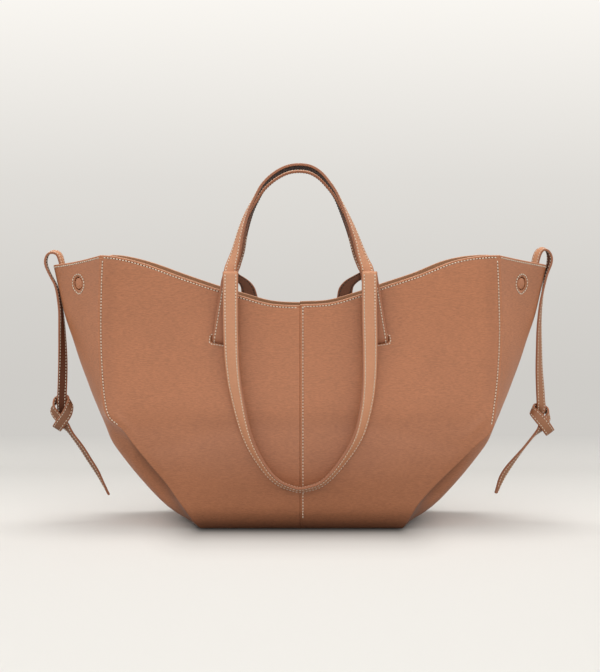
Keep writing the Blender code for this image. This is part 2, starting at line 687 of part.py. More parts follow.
def tie_points(side, shares):
    return [Vector((side * TIP_HALF_WIDTH * x, 0.0, TIP_HEIGHT * z)) for x, z in shares]


def outward_normals(points, side, end_turn):
    """Face directions of a tie: outward at its start, turned to the front by the end."""
    last = len(points) - 1
    normals = []
    for i in range(last + 1):
        tangent = (points[min(i + 1, last)] - points[max(i - 1, 0)]).normalized()
        outward = Vector((-tangent.z, 0.0, tangent.x)) * -side
        turn = end_turn * min(1.0, 1.6 * i / last)**2
        normals.append(outward * math.cos(turn) + Vector((0.0, -1.0, 0.0)) * math.sin(turn))
    return normals


def build_tie_anchor(side_name):
    """A leather wedge sewn into the fold of the wing, which the tie's end is stitched to."""
    side = SIDES[side_name]
    centre_u = 2.0 if side > 0.0 else 6.0
    top = TIP_HEIGHT - TIE_ANCHOR_TOP_MARGIN
    low = top - TIE_ANCHOR_DROP
    root = LEFT_TIE_ROOT_SHARES if side < 0.0 else RIGHT_TIE_ROOT_SHARES
    path = smooth_path(tie_points(side, root), TIE_SEGMENTS)
    rows = 4
    sections = []
    for j in range(rows + 1):
        height = low + (top - low) * j / rows
        strap_x = min(path, key=lambda p: abs(p.z - height)).x
        face_x = strap_x + side * (TIE_THICKNESS / 2.0 + SEWN_GAP)
        section = []
        fold_share = 1.0 - GUSSET_COLUMN_SHARES[-2]
        for u in (centre_u - fold_share, centre_u, centre_u + fold_share):
            section.append(wall(u, up_at_height(u, height), WALL_THICKNESS + TIE_ANCHOR_CLEARANCE))
        span = TIE_WIDTH / 2.0
        order = [Vector((face_x, math.copysign(span, section[-1].y), height)),
                 Vector((face_x, math.copysign(span, section[0].y), height))]
        sections.append([Vector((p.x, p.y, height)) for p in section] + order)
    count = len(sections[0])
    vertices = [p for section in sections for p in section]
    faces = [tuple(range(count)), tuple(range(rows * count + count - 1, rows * count - 1, -1))]
    for j in range(rows):
        for k in range(count):
            n = (k + 1) % count
            faces.append((j * count + k, j * count + n, (j + 1) * count + n, (j + 1) * count + k))
    add_object(side_name + "_tie_anchor", vertices, faces, "inner_leather")


def rounded_box(name, centre, size, tilt, material, parent):
    """A box with bevelled edges, turned about the front-to-back axis."""
    across, upward, outward = Vector((1.0, 0.0, 0.0)), Vector((0.0, 0.0, 1.0)), Vector((0.0, 1.0, 0.0))
    turn = Matrix.Rotation(tilt, 3, "Y")
    corners, faces = box_shape(Vector(), turn @ across, turn @ upward, outward, size.x, size.z, size.y)
    obj = add_object(name, [centre + c for c in corners], faces, material, parent)
    bevel = obj.modifiers.new("soft_edges", "BEVEL")
    bevel.width = KNOT_EDGE_RADIUS
    bevel.segments = 2
    return obj


def build_tie(side_name):
    """A side tie: the end over the rim, the drop, the knot and the tail below it."""
    side = SIDES[side_name]
    left = side < 0.0
    root = tie_points(side, LEFT_TIE_ROOT_SHARES if left else RIGHT_TIE_ROOT_SHARES)
    drop = tie_points(side, LEFT_TIE_DROP_SHARES if left else RIGHT_TIE_DROP_SHARES)
    tail = tie_points(side, LEFT_TAIL_SHARES if left else RIGHT_TAIL_SHARES)
    knot = tie_points(side, (LEFT_KNOT_SHARES if left else RIGHT_KNOT_SHARES,))[0]
    build_tie_anchor(side_name)
    root_path = smooth_path(root, TIE_SEGMENTS)
    ending = (root_path[-1] - root_path[-2]).normalized()
    root_path = root_path[:-2] + [root_path[-1] - ending * (TIE_THICKNESS / 2.0 + SEWN_GAP)]
    ribbon(side_name + "_tie_root", root_path, outward_normals(root_path, side, 0.0), TIE_WIDTH,
           TIE_THICKNESS, "strap_leather")
    pivot = add_pivot(side_name + "_tie_pivot", root[-1])
    core_half = KNOT_HEIGHT * KNOT_CORE_SHARE / 2.0
    drop_path = smooth_path(drop + [knot + Vector((0.0, 0.0, core_half + SEWN_GAP))], TIE_SEGMENTS)
    ribbon(side_name + "_tie_drop", drop_path, outward_normals(drop_path, side, math.radians(90.0)),
           TIE_WIDTH, TIE_THICKNESS, "strap_leather", pivot, round_start=True, level_ends=(-1,))
    core = rounded_box(side_name + "_tie_knot", knot,
                       Vector((KNOT_WIDTH * KNOT_CORE_SHARE, KNOT_DEPTH * KNOT_CORE_DEPTH_SHARE,
                               KNOT_HEIGHT * KNOT_CORE_SHARE)), 0.0, "strap_leather", pivot)
    reach = (KNOT_DEPTH - KNOT_BAND_THICKNESS) / 2.0
    for label, turn, depth in (("near_band", 1.0, -reach), ("far_band", -1.0, reach)):
        band = rounded_box(side_name + "_" + label, knot + Vector((0.0, depth, 0.0)),
                           Vector((KNOT_BAND_WIDTH, KNOT_BAND_THICKNESS, KNOT_HEIGHT)),
                           -side * turn * KNOT_BAND_TILT, None, pivot)
        band.hide_render = True
        band.display_type = "WIRE"
        union = core.modifiers.new(label, "BOOLEAN")
        union.operation = "UNION"
        union.object = band
    band_end = KNOT_HEIGHT / 2.0 + SEWN_GAP
    leaving = Vector((-side * math.sin(KNOT_BAND_TILT) * band_end, reach,
                      -math.cos(KNOT_BAND_TILT) * band_end))
    tail_path = smooth_path([knot + leaving] + tail, TIE_SEGMENTS // 2)
    ribbon(side_name + "_tie_tail", tail_path, outward_normals(tail_path, side, math.radians(50.0)),
           TIE_WIDTH, TIE_THICKNESS, "strap_leather", pivot)


def main():
    for obj in list(bpy.data.objects):
        bpy.data.objects.remove(obj, do_unlink=True)
    wall_pieces = build_wall()
    build_base()
    build_seam_tapes()
    for face_name in FACES:
        for side_name in SIDES:
            build_strap_corner(side_name, face_name, wall_pieces)
        build_handle(face_name)
    build_long_strap("front", FRONT_LOOP_SHARES, LONG_STRAP_DROP)
    build_long_strap("back", BACK_LOOP_SHARES, BACK_STRAP_DROP)
    for side_name in SIDES:
        build_magnets(side_name, wall_pieces)
        build_tie(side_name)
    bpy.context.view_layer.update()


main()
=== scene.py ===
"""Winged tan leather tote bag: the sewn leather, straps, knots, magnets and thread, and its studio.

Units are metres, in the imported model's frame: +Z is up, -Y is the front, and the origin is under the
middle of the base. The outline tables of the wall, the straps and the ties are those of the part.
"""
import json
import math

import bmesh
import bpy
import numpy as np
from bpy.props import FloatProperty, FloatVectorProperty, PointerProperty
from mathutils import Matrix, Vector


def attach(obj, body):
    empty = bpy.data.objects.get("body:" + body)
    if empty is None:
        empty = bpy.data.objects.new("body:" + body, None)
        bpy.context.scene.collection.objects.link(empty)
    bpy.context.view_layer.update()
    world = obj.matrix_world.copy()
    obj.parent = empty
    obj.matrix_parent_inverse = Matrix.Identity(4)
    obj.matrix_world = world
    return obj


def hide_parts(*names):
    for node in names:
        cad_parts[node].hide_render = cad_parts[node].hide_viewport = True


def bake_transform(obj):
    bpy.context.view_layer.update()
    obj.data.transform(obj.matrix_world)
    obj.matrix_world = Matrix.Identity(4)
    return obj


bl_info = {
    "name": "Winged leather tote bag",
    "version": (1, 0, 0),
    "blender": (4, 5, 0),
    "location": "3D View > Sidebar > Tote Bag",
    "description": "Builds the leather, straps, ties, magnets and thread of a winged tote bag",
    "category": "Object",
}

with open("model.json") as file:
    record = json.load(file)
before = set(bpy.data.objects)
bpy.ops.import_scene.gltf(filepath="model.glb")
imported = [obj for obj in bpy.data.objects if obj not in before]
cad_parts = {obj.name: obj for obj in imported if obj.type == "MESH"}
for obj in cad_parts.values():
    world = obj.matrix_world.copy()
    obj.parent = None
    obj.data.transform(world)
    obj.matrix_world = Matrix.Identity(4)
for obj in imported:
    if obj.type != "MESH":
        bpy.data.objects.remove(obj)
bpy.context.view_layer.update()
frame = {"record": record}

# Body of the bag
SEAM_HALF_WIDTH = 0.2080
SEAM_HEIGHT = 0.2850
TIP_HALF_WIDTH = 0.2640
TIP_HEIGHT = 0.2740
RIM_CENTRE_HEIGHT = 0.2360
BASE_HALF_DEPTH = 0.0700
VALLEY_DEPTH = 0.0150
WALL_THICKNESS = 0.0020
BASE_THICKNESS = 0.0020
BOARD_THICKNESS = 0.0024
SEWN_GAP = 0.0003
BOTTOM = BASE_THICKNESS + SEWN_GAP
SEAM_END_HEIGHT = 0.1100
FOOT_HEIGHT = 0.0100
FOOT_TUCK = 0.0028

# Carrying straps
STRAP_WIDTH = 0.0162
STRAP_THICKNESS = 0.0030
STRAP_HALF_SPACING = 0.0718
SLOT_HALF_SPACING = 0.0832
SLOT_HEIGHT = 0.1965
SLOT_SIDE_CLEARANCE = 0.0006
HANDLE_HINGE_HEIGHT = 0.2720
HANDLE_HINGE_DEPTH = 0.0618
HANDLE_RISE = 0.1070
HANDLE_LEAN = math.radians(9.0)
FOLD_HEIGHT = 0.2655
FOLD_DEPTH = 0.06675
LONG_STRAP_DROP = 0.2205
BACK_STRAP_DROP = 0.2270
STRAP_TAIL = 0.0260
PATCH_WIDTH = 0.0260
PATCH_HEIGHT = 0.0340
PATCH_THICKNESS = 0.0014
LAYER_STEP = STRAP_THICKNESS + SEWN_GAP
INNER_LAYER = SEWN_GAP + STRAP_THICKNESS / 2.0
OUTER_LAYER = INNER_LAYER + LAYER_STEP
SLOT_LEAN = math.atan2(SLOT_HALF_SPACING - STRAP_HALF_SPACING, HANDLE_HINGE_HEIGHT - SLOT_HEIGHT)

# Magnets in the wings
MAGNET_HEIGHT = 0.2550
MAGNET_AROUND_SHARE = 0.43
WINDOW_RADIUS = 0.0070
CAP_CLEARANCE = 0.0004
MAGNET_THICKNESS = 0.0020
MAGNET_PATCH_RADIUS = 0.0130
MAGNET_PATCH_THICKNESS = 0.0012

# Side ties
TIE_WIDTH = 0.0096
TIE_THICKNESS = 0.0025
TIE_INSET = 0.0017

# Tape behind the centre seams
TAPE_WIDTH = 0.0120
TAPE_THICKNESS = 0.0008
TAPE_END_MARGIN = 0.0080
CENTRE_SEAM_INSET = 0.0030

# How much further apart the feet of the back handle and the folds of the back strap stand
BACK_HANDLE_SPREAD = 0.0025
BACK_STRAP_SPREAD = 0.0025

# Steps along and up the wall for its directions, and for the rounding of its lower fold
TURN_STEP = 0.004
HEIGHT_STEP = 0.0008
SOFT_STEP = 0.0006

LEFT_SEAM_SHARES = (
    (0.000, 0.505), (0.045, 0.548), (0.100, 0.600), (0.170, 0.668), (0.240, 0.750), (0.310, 0.830),
    (0.370, 0.893), (0.387, 0.930), (0.408, 0.962), (0.450, 0.982), (0.545, 0.998), (0.700, 1.008),
    (0.880, 1.005), (1.000, 0.997),
)
RIGHT_SEAM_SHARES = (
    (0.000, 0.520), (0.045, 0.550), (0.100, 0.597), (0.170, 0.685), (0.240, 0.785), (0.310, 0.885),
    (0.345, 0.942), (0.372, 0.964), (0.450, 0.982), (0.545, 0.998), (0.700, 1.010), (0.880, 1.005),
    (1.000, 0.997),
)
TIP_SHARES = (
    (0.000, 0.432), (0.020, 0.478), (0.035, 0.508), (0.060, 0.545), (0.100, 0.590), (0.175, 0.660),
    (0.250, 0.722), (0.310, 0.765), (0.370, 0.790), (0.440, 0.817), (0.510, 0.848), (0.620, 0.892),
    (0.710, 0.922), (0.800, 0.953), (0.900, 0.977), (1.000, 1.000),
)
SEAM_DEPTH_SHARES = (
    (0.000, 0.885), (0.025, 0.945), (0.060, 0.990), (0.110, 1.010), (0.200, 1.005), (0.360, 0.955),
    (0.450, 0.915), (0.600, 0.865), (0.750, 0.835), (1.000, 0.825),
)
MIDDLE_DEPTH_SHARES = (
    (0.000, 0.885), (0.025, 0.965), (0.060, 1.035), (0.120, 1.080), (0.200, 1.100), (0.350, 1.045),
    (0.520, 0.935), (0.690, 0.850), (0.830, 0.810), (1.000, 0.800),
)
LEFT_RIM_SHARES = (
    (0.00, -0.064), (0.10, -0.048), (0.17, -0.008), (0.27, 0.112), (0.43, 0.313), (0.60, 0.556),
    (0.75, 0.785), (0.85, 0.908), (0.94, 0.982), (1.00, 1.000),
)
RIGHT_RIM_SHARES = (
    (0.00, -0.044), (0.15, -0.006), (0.30, 0.172), (0.43, 0.360), (0.60, 0.600), (0.75, 0.855),
    (0.85, 0.955), (0.94, 0.995), (1.00, 1.000),
)
VALLEY_SHARES = (
    (0.000, 0.000), (0.060, 0.350), (0.150, 0.850), (0.240, 1.000), (0.310, 0.800), (0.370, 0.300),
    (0.420, 0.000), (1.000, 0.000),
)
TIP_ROUND_SHARES = ((0.00, 0.90), (0.10, 0.55), (0.35, 0.30), (0.60, 0.16), (1.00, 0.10))
HANDLE_SHARES = (
    (-1.000, 0.000), (-0.931, 0.135), (-0.855, 0.355), (-0.757, 0.550), (-0.655, 0.685),
    (-0.549, 0.803), (-0.400, 0.900), (-0.221, 0.970), (-0.050, 0.995), (0.140, 0.982),
    (0.290, 0.925), (0.418, 0.832), (0.531, 0.725), (0.647, 0.563), (0.771, 0.362),
    (0.858, 0.185), (0.900, 0.090), (0.930, 0.045), (0.968, 0.000),
)
# Height in metres, and how far the handle has twisted there in degrees
HANDLE_TWIST = (
    (0.262, 0.0), (0.271, 16.0), (0.280, 40.0), (0.291, 55.0), (0.305, 64.0), (0.320, 71.0),
    (0.340, 82.0), (0.358, 90.0), (0.374, 95.0), (0.400, 95.0),
)
FRONT_LOOP_SHARES = (
    (-1.000, 0.000), (-1.000, 0.155), (-0.990, 0.310), (-0.970, 0.425), (-0.915, 0.550),
    (-0.765, 0.745), (-0.585, 0.865), (-0.345, 0.960), (-0.070, 1.000), (0.070, 1.000),
    (0.320, 0.972), (0.580, 0.885), (0.825, 0.760), (0.935, 0.640), (0.990, 0.510),
    (1.005, 0.370), (1.000, 0.155), (1.000, 0.000),
)
BACK_LOOP_SHARES = (
    (-1.035, 0.000), (-0.995, 0.016), (-0.936, 0.031), (-0.882, 0.045), (-0.827, 0.068),
    (-0.780, 0.109), (-0.715, 0.200), (-0.635, 0.340), (-0.560, 0.520), (-0.475, 0.720),
    (-0.320, 0.900), (-0.130, 0.985), (0.000, 1.000), (0.130, 0.985), (0.320, 0.900),
    (0.475, 0.720), (0.560, 0.520), (0.625, 0.340), (0.658, 0.200), (0.691, 0.108),
    (0.712, 0.083), (0.765, 0.055), (0.859, 0.031), (0.965, 0.012), (1.035, 0.000),
)
FRONT_HANG_SHARES = ((0.00, 0.0), (0.30, 0.26), (0.60, 0.62), (0.80, 0.86), (1.00, 1.00))

# Ties, in millimetres: place x, y, z, then the direction of the grain side, then the width share
LEFT_TIE_TURNS = (
    (-248.2, 0.0, 235.6, 1.00, 0.00, 0.00, 1.00), (-250.8, 0.0, 252.1, 1.00, -0.10, 0.00, 1.00),
    (-254.4, 0.0, 269.9, 1.00, -0.35, 0.10, 1.00), (-255.4, 0.0, 278.6, 0.90, -0.45, 0.20, 1.00),
    (-258.6, 0.0, 286.1, 0.50, -0.40, 0.75, 1.00), (-264.3, 0.0, 288.2, -0.05, -0.25, 1.00, 1.00),
    (-269.4, 0.0, 286.0, -0.70, -0.05, 0.70, 1.00), (-272.0, 0.0, 280.2, -1.00, 0.05, 0.15, 1.00),
    (-271.8, 0.0, 274.4, -1.00, 0.05, -0.20, 1.00), (-269.2, 0.0, 267.2, -0.90, 0.00, -0.45, 1.00),
    (-265.8, 0.0, 260.4, -0.87, 0.00, -0.50, 1.00), (-262.2, 0.0, 253.6, -0.90, 0.03, -0.40, 1.00),
    (-259.7, 0.0, 245.3, -0.98, 0.10, -0.20, 1.00), (-257.4, 0.0, 232.4, -0.97, 0.24, -0.10, 1.00),
    (-256.2, 0.0, 222.8, -0.93, 0.37, -0.10, 1.00), (-255.0, 0.0, 193.8, -0.68, 0.73, 0.00, 1.03),
    (-254.6, 0.0, 172.3, -0.37, 0.93, 0.00, 1.06), (-254.9, 0.0, 154.0, -0.08, 1.00, 0.00, 1.08),
    (-255.4, -0.4, 140.0, 0.00, 1.00, 0.00, 1.08), (-256.0, -0.2, 127.0, 0.00, 1.00, 0.00, 1.08),
    (-256.2, 2.0, 117.0, 0.00, 1.00, 0.10, 1.05), (-256.8, 4.6, 109.0, 0.00, 1.00, 0.00, 1.05),
    (-259.6, 4.2, 102.4, -0.10, 1.00, -0.20, 1.10), (-261.4, 0.2, 98.8, -0.55, 0.00, -0.83, 1.12),
    (-258.4, -4.6, 102.6, -0.10, -1.00, -0.10, 1.15), (-253.6, -6.3, 109.0, 0.00, -1.00, 0.00, 1.18),
    (-249.6, -6.2, 115.4, 0.15, -1.00, 0.00, 1.14), (-247.4, -4.2, 122.6, 0.55, -0.83, 0.10, 1.00),
    (-247.4, -0.4, 128.0, 0.92, -0.10, 0.38, 0.92), (-250.2, 3.2, 130.8, 0.20, 0.85, 0.50, 0.86),
    (-255.6, 5.2, 131.2, 0.00, 1.00, 0.20, 0.84), (-261.4, 3.6, 129.2, -0.40, 0.90, 0.20, 0.84),
    (-264.6, 0.2, 125.0, -0.95, 0.10, 0.20, 0.84), (-265.2, -2.4, 119.8, -0.72, -0.68, 0.00, 0.88),
    (-262.4, -3.7, 114.6, -0.25, -0.97, 0.00, 0.92), (-257.5, -3.7, 108.6, 0.00, -1.00, 0.00, 0.95),
    (-252.6, -2.6, 102.8, -0.20, -0.95, -0.10, 0.95), (-248.6, -1.2, 97.4, -0.60, -0.65, -0.35, 0.92),
    (-244.8, 0.0, 91.6, -0.74, -0.56, -0.46, 0.92), (-235.0, 0.0, 78.1, -0.68, -0.60, -0.42, 0.92),
    (-226.6, 0.0, 64.7, -0.68, -0.60, -0.42, 0.90), (-218.2, 0.0, 51.3, -0.70, -0.57, -0.42, 0.78),
    (-211.3, 0.0, 37.8, -0.84, -0.33, -0.44, 0.55), (-206.2, 0.0, 27.6, -0.84, -0.33, -0.44, 0.34),
)
RIGHT_TIE_TURNS = (
    (249.2, 0.0, 235.6, -1.00, 0.00, 0.00, 1.00), (250.3, 0.0, 252.1, -0.98, -0.20, 0.00, 1.00),
    (251.3, 0.0, 271.3, -0.75, -0.66, 0.10, 1.00), (252.6, 0.0, 280.5, -0.62, -0.70, 0.30, 1.00),
    (255.8, 0.0, 288.4, -0.35, -0.55, 0.75, 1.00), (260.6, 0.0, 291.3, 0.05, -0.25, 0.97, 1.00),
    (265.2, 0.0, 288.6, 0.75, 0.15, 0.60, 1.00), (267.4, 0.0, 282.2, 0.90, 0.42, 0.10, 1.00),
    (267.0, 0.0, 276.2, 0.90, 0.42, -0.15, 1.00), (265.5, 0.0, 270.2, 0.93, 0.25, -0.28, 1.00),
    (263.9, 0.0, 264.2, 0.97, 0.08, -0.24, 1.00), (262.2, 0.0, 257.0, 0.98, 0.00, -0.20, 1.00),
    (260.5, 0.0, 248.0, 0.98, -0.10, -0.18, 1.00), (258.6, 0.0, 236.0, 0.96, -0.25, -0.15, 1.00),
    (257.2, 0.0, 222.8, 0.92, -0.38, -0.08, 1.00), (256.4, 0.0, 206.7, 0.85, -0.52, -0.03, 1.00),
    (256.4, 0.0, 186.0, 0.77, -0.64, 0.00, 1.02), (256.7, 0.0, 162.6, 0.65, -0.76, 0.00, 1.04),
    (258.0, -0.3, 140.0, 0.45, -0.89, 0.00, 1.06), (258.8, -0.2, 127.0, 0.35, -0.93, 0.00, 1.05),
    (259.6, 1.0, 119.0, -0.30, -0.90, 0.00, 0.98), (260.0, 3.2, 111.0, -1.00, 0.05, 0.00, 0.80),
    (262.6, 4.8, 104.0, -0.50, 0.85, 0.00, 0.95), (266.2, 3.4, 97.8, 0.20, 0.90, -0.40, 1.10),
    (268.8, 0.0, 94.4, 0.60, 0.00, -0.80, 1.15), (265.8, -4.6, 98.4, 0.10, -1.00, -0.10, 1.20),
    (261.4, -6.3, 104.4, 0.00, -1.00, 0.00, 1.22), (256.6, -6.4, 110.0, 0.00, -1.00, 0.00, 1.20),
    (252.3, -5.0, 114.8, -0.40, -0.90, 0.20, 1.10), (249.6, -0.8, 118.3, -0.90, -0.10, 0.40, 1.00),
    (252.2, 3.6, 121.0, -0.20, 0.90, 0.50, 0.90), (258.5, 5.4, 121.4, 0.00, 1.00, 0.20, 0.84),
    (264.2, 3.4, 118.6, 0.50, 0.80, 0.20, 0.84), (267.0, -0.4, 114.2, 0.95, -0.10, 0.20, 0.88),
    (265.2, -3.0, 109.4, 0.50, -0.85, 0.00, 0.90), (261.0, -3.6, 103.5, 0.10, -1.00, -0.10, 0.90),
    (257.6, -2.2, 97.6, 0.50, -0.70, -0.50, 0.90), (251.6, -0.6, 91.2, 0.70, -0.25, -0.67, 0.90),
    (241.2, 0.0, 78.1, 0.70, -0.20, -0.69, 0.90), (230.5, 0.0, 64.7, 0.62, -0.48, -0.62, 0.92),
    (225.3, 0.0, 58.0, 0.56, -0.62, -0.55, 0.94), (220.7, 0.0, 51.3, 0.58, -0.68, -0.45, 0.94),
    (217.0, 0.0, 44.5, 0.62, -0.68, -0.38, 0.90), (214.3, 0.0, 37.8, 0.70, -0.62, -0.34, 0.74),
    (211.4, 0.0, 29.6, 0.78, -0.52, -0.32, 0.48),
)

# Soft folds, in millimetres: x, z, half length, half height, tilt in degrees, lift
PANEL_FOLDS = (
    (0.0, 66.0, 900.0, 20.0, 0.0, 0.9),
    (0.0, 108.0, 900.0, 15.0, 0.0, -0.9),
    (-187.0, 113.0, 16.0, 4.5, -42.0, 1.2),
    (187.0, 110.0, 16.0, 4.5, 42.0, 1.0),
    (-120.0, 92.0, 60.0, 9.0, 14.0, -0.5),
    (120.0, 96.0, 60.0, 9.0, -12.0, -0.5),
)

SIDES = {"left": -1.0, "right": 1.0}
FACES = {"front": -1.0, "back": 1.0}
RANDOM_SEED = 11
STITCH_SIDES = 6
GRAIN_DEPTH = 0.0002

# Keeps what lies in the upright plane from front to back
UPRIGHT_PLANE = np.array([0.0, 1.0, 1.0])

# Above this height the inner stitches of a handle lie in its shade
SHADED_THREAD_HEIGHT = 0.305


# Sizes and colours that a user would change
def length_value(label, words, default, least=0.0):
    return FloatProperty(name=label, description=words, default=default, min=least, unit="LENGTH")


def colour_value(label, words, default):
    return FloatVectorProperty(name=label, description=words, default=default, subtype="COLOR")


class BagSizes(bpy.types.PropertyGroup):
    """Sizes of the thread and the finish of the leather's edges."""

    stitch_pitch: length_value("Stitch pitch", "From one stitch to the next", 0.0032, 0.001)
    stitch_share: FloatProperty(name="Stitch share", description="Share of the pitch that shows thread",
                                default=0.62, min=0.2, max=0.95, subtype="FACTOR")
    thread_radius: length_value("Thread radius", "Half the thickness of the thread", 0.00055, 0.0001)
    rim_inset: length_value("Rim stitch inset", "From the mouth's edge to its stitches", 0.0026)
    seam_inset: length_value("Seam stitch inset", "From a side seam to its stitches", 0.0027)
    strap_inset: length_value("Strap stitch inset", "From a strap's edge to its stitches", 0.0026)
    grain: length_value("Grain", "Width of one pebble of the leather's grain", 0.0010, 0.0002)


class BagColours(bpy.types.PropertyGroup):
    """Colours of the leather, the thread and the trim."""

    body: colour_value("Body leather", "Face of the panels and wings", (0.500, 0.188, 0.080))
    strap: colour_value("Strap leather", "Face of the straps, handles and ties", (0.590, 0.270, 0.140))
    edge: colour_value("Edge paint", "Painted cut edges", (0.370, 0.140, 0.066))
    # The mouth's edge is edge paint, lighter than the other painted edges as a painted highlight from the
    # light above.
    rim: colour_value("Mouth edge", "Burnished edge of the bag's mouth", (0.620, 0.300, 0.170))
    # The straps' backs are the same leather as their faces; this darker colour is painted shade.
    strap_back: colour_value("Strap back", "Dark side of the straps and handles", (0.430, 0.176, 0.092))
    tie_back: colour_value("Tie back", "Dark side of the side ties", (0.112, 0.034, 0.014))
    # Dark spots between stitches: painted shade in the needle holes.
    needle_hole: colour_value("Needle holes", "Leather pressed in between stitches", (0.110, 0.036, 0.018))
    inside: colour_value("Flesh side", "Bare inside of the leather", (0.430, 0.215, 0.115))
    thread: colour_value("Thread", "Contrast thread", (0.860, 0.745, 0.590))
    tape: colour_value("Tape", "Woven tape behind the centre seams", (0.300, 0.200, 0.140))
    board: colour_value("Base board", "Stiff board in the bottom", (0.100, 0.080, 0.070))


class StudioLight(bpy.types.PropertyGroup):
    """Light of the photograph's studio."""

    top_power: FloatProperty(name="Top power", description="Power of the soft light above and behind",
                             default=19.0, min=0.0, unit="POWER")
    front_power: FloatProperty(name="Front power", description="Power of the wide soft light in front",
                               default=16.0, min=0.0, unit="POWER")
    fill: FloatProperty(name="Fill", description="Strength of the light from all around",
                        default=1.72, min=0.0)


def sizes():
    return bpy.context.scene.bag_sizes


def colours():
    return bpy.context.scene.bag_colours


# Curves and the wall's shape
def curve(table, shares):
    """Smooth values of a table of (share, value) pairs."""
    table = np.asarray(table, float)
    place, value = table[:, 0], table[:, 1:]
    shares = np.clip(np.asarray(shares, float), place[0], place[-1])
    index = np.clip(np.searchsorted(place, shares, side="left") - 1, 0, len(place) - 2)
    count = np.arange(len(place))
    low, high = np.maximum(count - 1, 0), np.minimum(count + 1, len(place) - 1)
    slope = (value[high] - value[low]) / (place[high] - place[low])[:, None]
    step = (place[index + 1] - place[index])[..., None]
    t = (shares - place[index])[..., None] / step
    result = value[index] * (2 * t**3 - 3 * t**2 + 1) + slope[index] * step * (t**3 - 2 * t**2 + t)
    result = result + value[index + 1] * (3 * t**2 - 2 * t**3) + slope[index + 1] * step * (t**3 - t**2)
    return result[..., 0] if value.shape[1] == 1 else result


def distances(points):
    """How far along a line each of its points lies."""
    steps = np.linalg.norm(np.diff(points, axis=0), axis=1)
    return np.concatenate([[0.0], np.cumsum(steps)])


def smooth_path(points, count):
    """Evenly spaced points of a smooth curve through rows of numbers whose first three are a place."""
    points = np.asarray(points, float)
    along = distances(points[:, :3])
    return curve(np.column_stack([along / along[-1], points]), np.arange(count + 1) / count)


def fade(value, low, high):
    """0 below low, 1 above high, and smooth between them."""
    t = np.clip((np.asarray(value, float) - low) / (high - low), 0.0, 1.0)
    return t * t * (3.0 - 2.0 * t)


def unit(vectors):
    return vectors / np.maximum(np.linalg.norm(vectors, axis=-1, keepdims=True), 1e-12)


def fold_back(u):
    """Side, face, and the way from the centre seam (0) over the side seam (1) to the tip (2)."""
    u = np.mod(np.asarray(u, float), 8.0)
    side = np.where(u <= 4.0, 1.0, -1.0)
    turn = np.minimum(u, 8.0 - u)
    facing = np.where(turn <= 2.0, -1.0, 1.0)
    return side, facing, np.minimum(turn, 4.0 - turn)


def place_along(side, facing, way):
    """The place u on a side and a face of the bag, at a way from the centre seam."""
    return ((4.0 if facing > 0.0 else 0.0) - side * facing * way) % 8.0


def seam_half_width(side, height):
    share = np.asarray(height) / SEAM_HEIGHT
    return SEAM_HALF_WIDTH * np.where(side < 0.0, curve(LEFT_SEAM_SHARES, share),
                                      curve(RIGHT_SEAM_SHARES, share))


def tip_half_width(height):
    return TIP_HALF_WIDTH * curve(TIP_SHARES, height / TIP_HEIGHT)


def panel_depth(across, height):
    share = np.asarray(height) / SEAM_HEIGHT
    middle, edge = curve(MIDDLE_DEPTH_SHARES, share), curve(SEAM_DEPTH_SHARES, share)
    return BASE_HALF_DEPTH * (middle + (edge - middle) * across**2)


def rim(u):
    """Height of the mouth's edge along the wall."""
    side, _, way = fold_back(u)
    across, around = np.minimum(way, 1.0), np.clip(way - 1.0, 0.0, 1.0)
    share = np.where(side < 0.0, curve(LEFT_RIM_SHARES, across), curve(RIGHT_RIM_SHARES, across))
    sag = np.where(side < 0.0, 0.0016, 0.0006) * np.sin(np.pi * around)
    return (RIM_CENTRE_HEIGHT + (SEAM_HEIGHT - RIM_CENTRE_HEIGHT) * share
            + around * (TIP_HEIGHT - SEAM_HEIGHT) - sag)


def band(u, height):
    """The wall's outer face: u runs from the front centre seam round the right wing, 0 to 8."""
    u, height = np.broadcast_arrays(np.asarray(u, float), np.asarray(height, float))
    side, facing, way = fold_back(u)
    across, around = np.minimum(way, 1.0), np.clip(way - 1.0, 0.0, 1.0)
    seam, tip = seam_half_width(side, height), tip_half_width(height)
    depth = panel_depth(across, height)
    panel = np.stack([side * across * seam, facing * depth, height], axis=-1)
    round_share = curve(TIP_ROUND_SHARES, height / SEAM_HEIGHT)
    inward = 1.0 - around
    fall = (np.hypot(inward, round_share) - round_share) / (np.hypot(1.0, round_share) - round_share)
    valley = VALLEY_DEPTH * curve(VALLEY_SHARES, height / SEAM_HEIGHT)
    valley = valley * np.sin(np.pi * around**0.75)**2
    wing = np.stack([side * (tip - (tip - seam) * fall - valley),
                     facing * (depth * inward - valley * inward / 2.0), height], axis=-1)
    return np.where((way <= 1.0)[..., None], panel, wing)


def arc_place(u, height, shift):
    """Moves u along the wall by a distance, over the side seams."""
    u = np.mod(u, 8.0)
    turn = np.where(u <= 4.0, u, u - 4.0)
    panel = seam_half_width(np.where(u <= 4.0, 1.0, -1.0), height)
    wing = np.hypot(np.maximum(tip_half_width(height) - panel, 0.0), panel_depth(1.0, height))
    length = shift + np.where(turn <= 1.0, turn * panel,
                              np.where(turn <= 3.0, panel + (turn - 1.0) * wing,
                                       panel + 2.0 * wing + (turn - 3.0) * panel))
    moved = np.where(length <= panel, length / panel,
                     np.where(length <= panel + 2.0 * wing, 1.0 + (length - panel) / wing,
                              3.0 + (length - panel - 2.0 * wing) / panel))
    return moved + np.where(u <= 4.0, 0.0, 4.0)


def soft_band(u, height):
    """The wall with its lower fold rounded, where the side seam has ended."""
    u, height = np.broadcast_arrays(np.asarray(u, float), np.asarray(height, float))
    sharp = band(u, height)
    steps = range(-4, 5)
    weights = np.exp(-(np.arange(-4, 5) / 2.0)**2)
    total = sum(w * band(arc_place(u, height, SOFT_STEP * k), height) for k, w in zip(steps, weights))
    total = total / weights.sum()
    softness = 1.0 - fade(height, SEAM_END_HEIGHT - 0.008, SEAM_END_HEIGHT + 0.002)
    return sharp + (total - sharp) * softness[..., None]


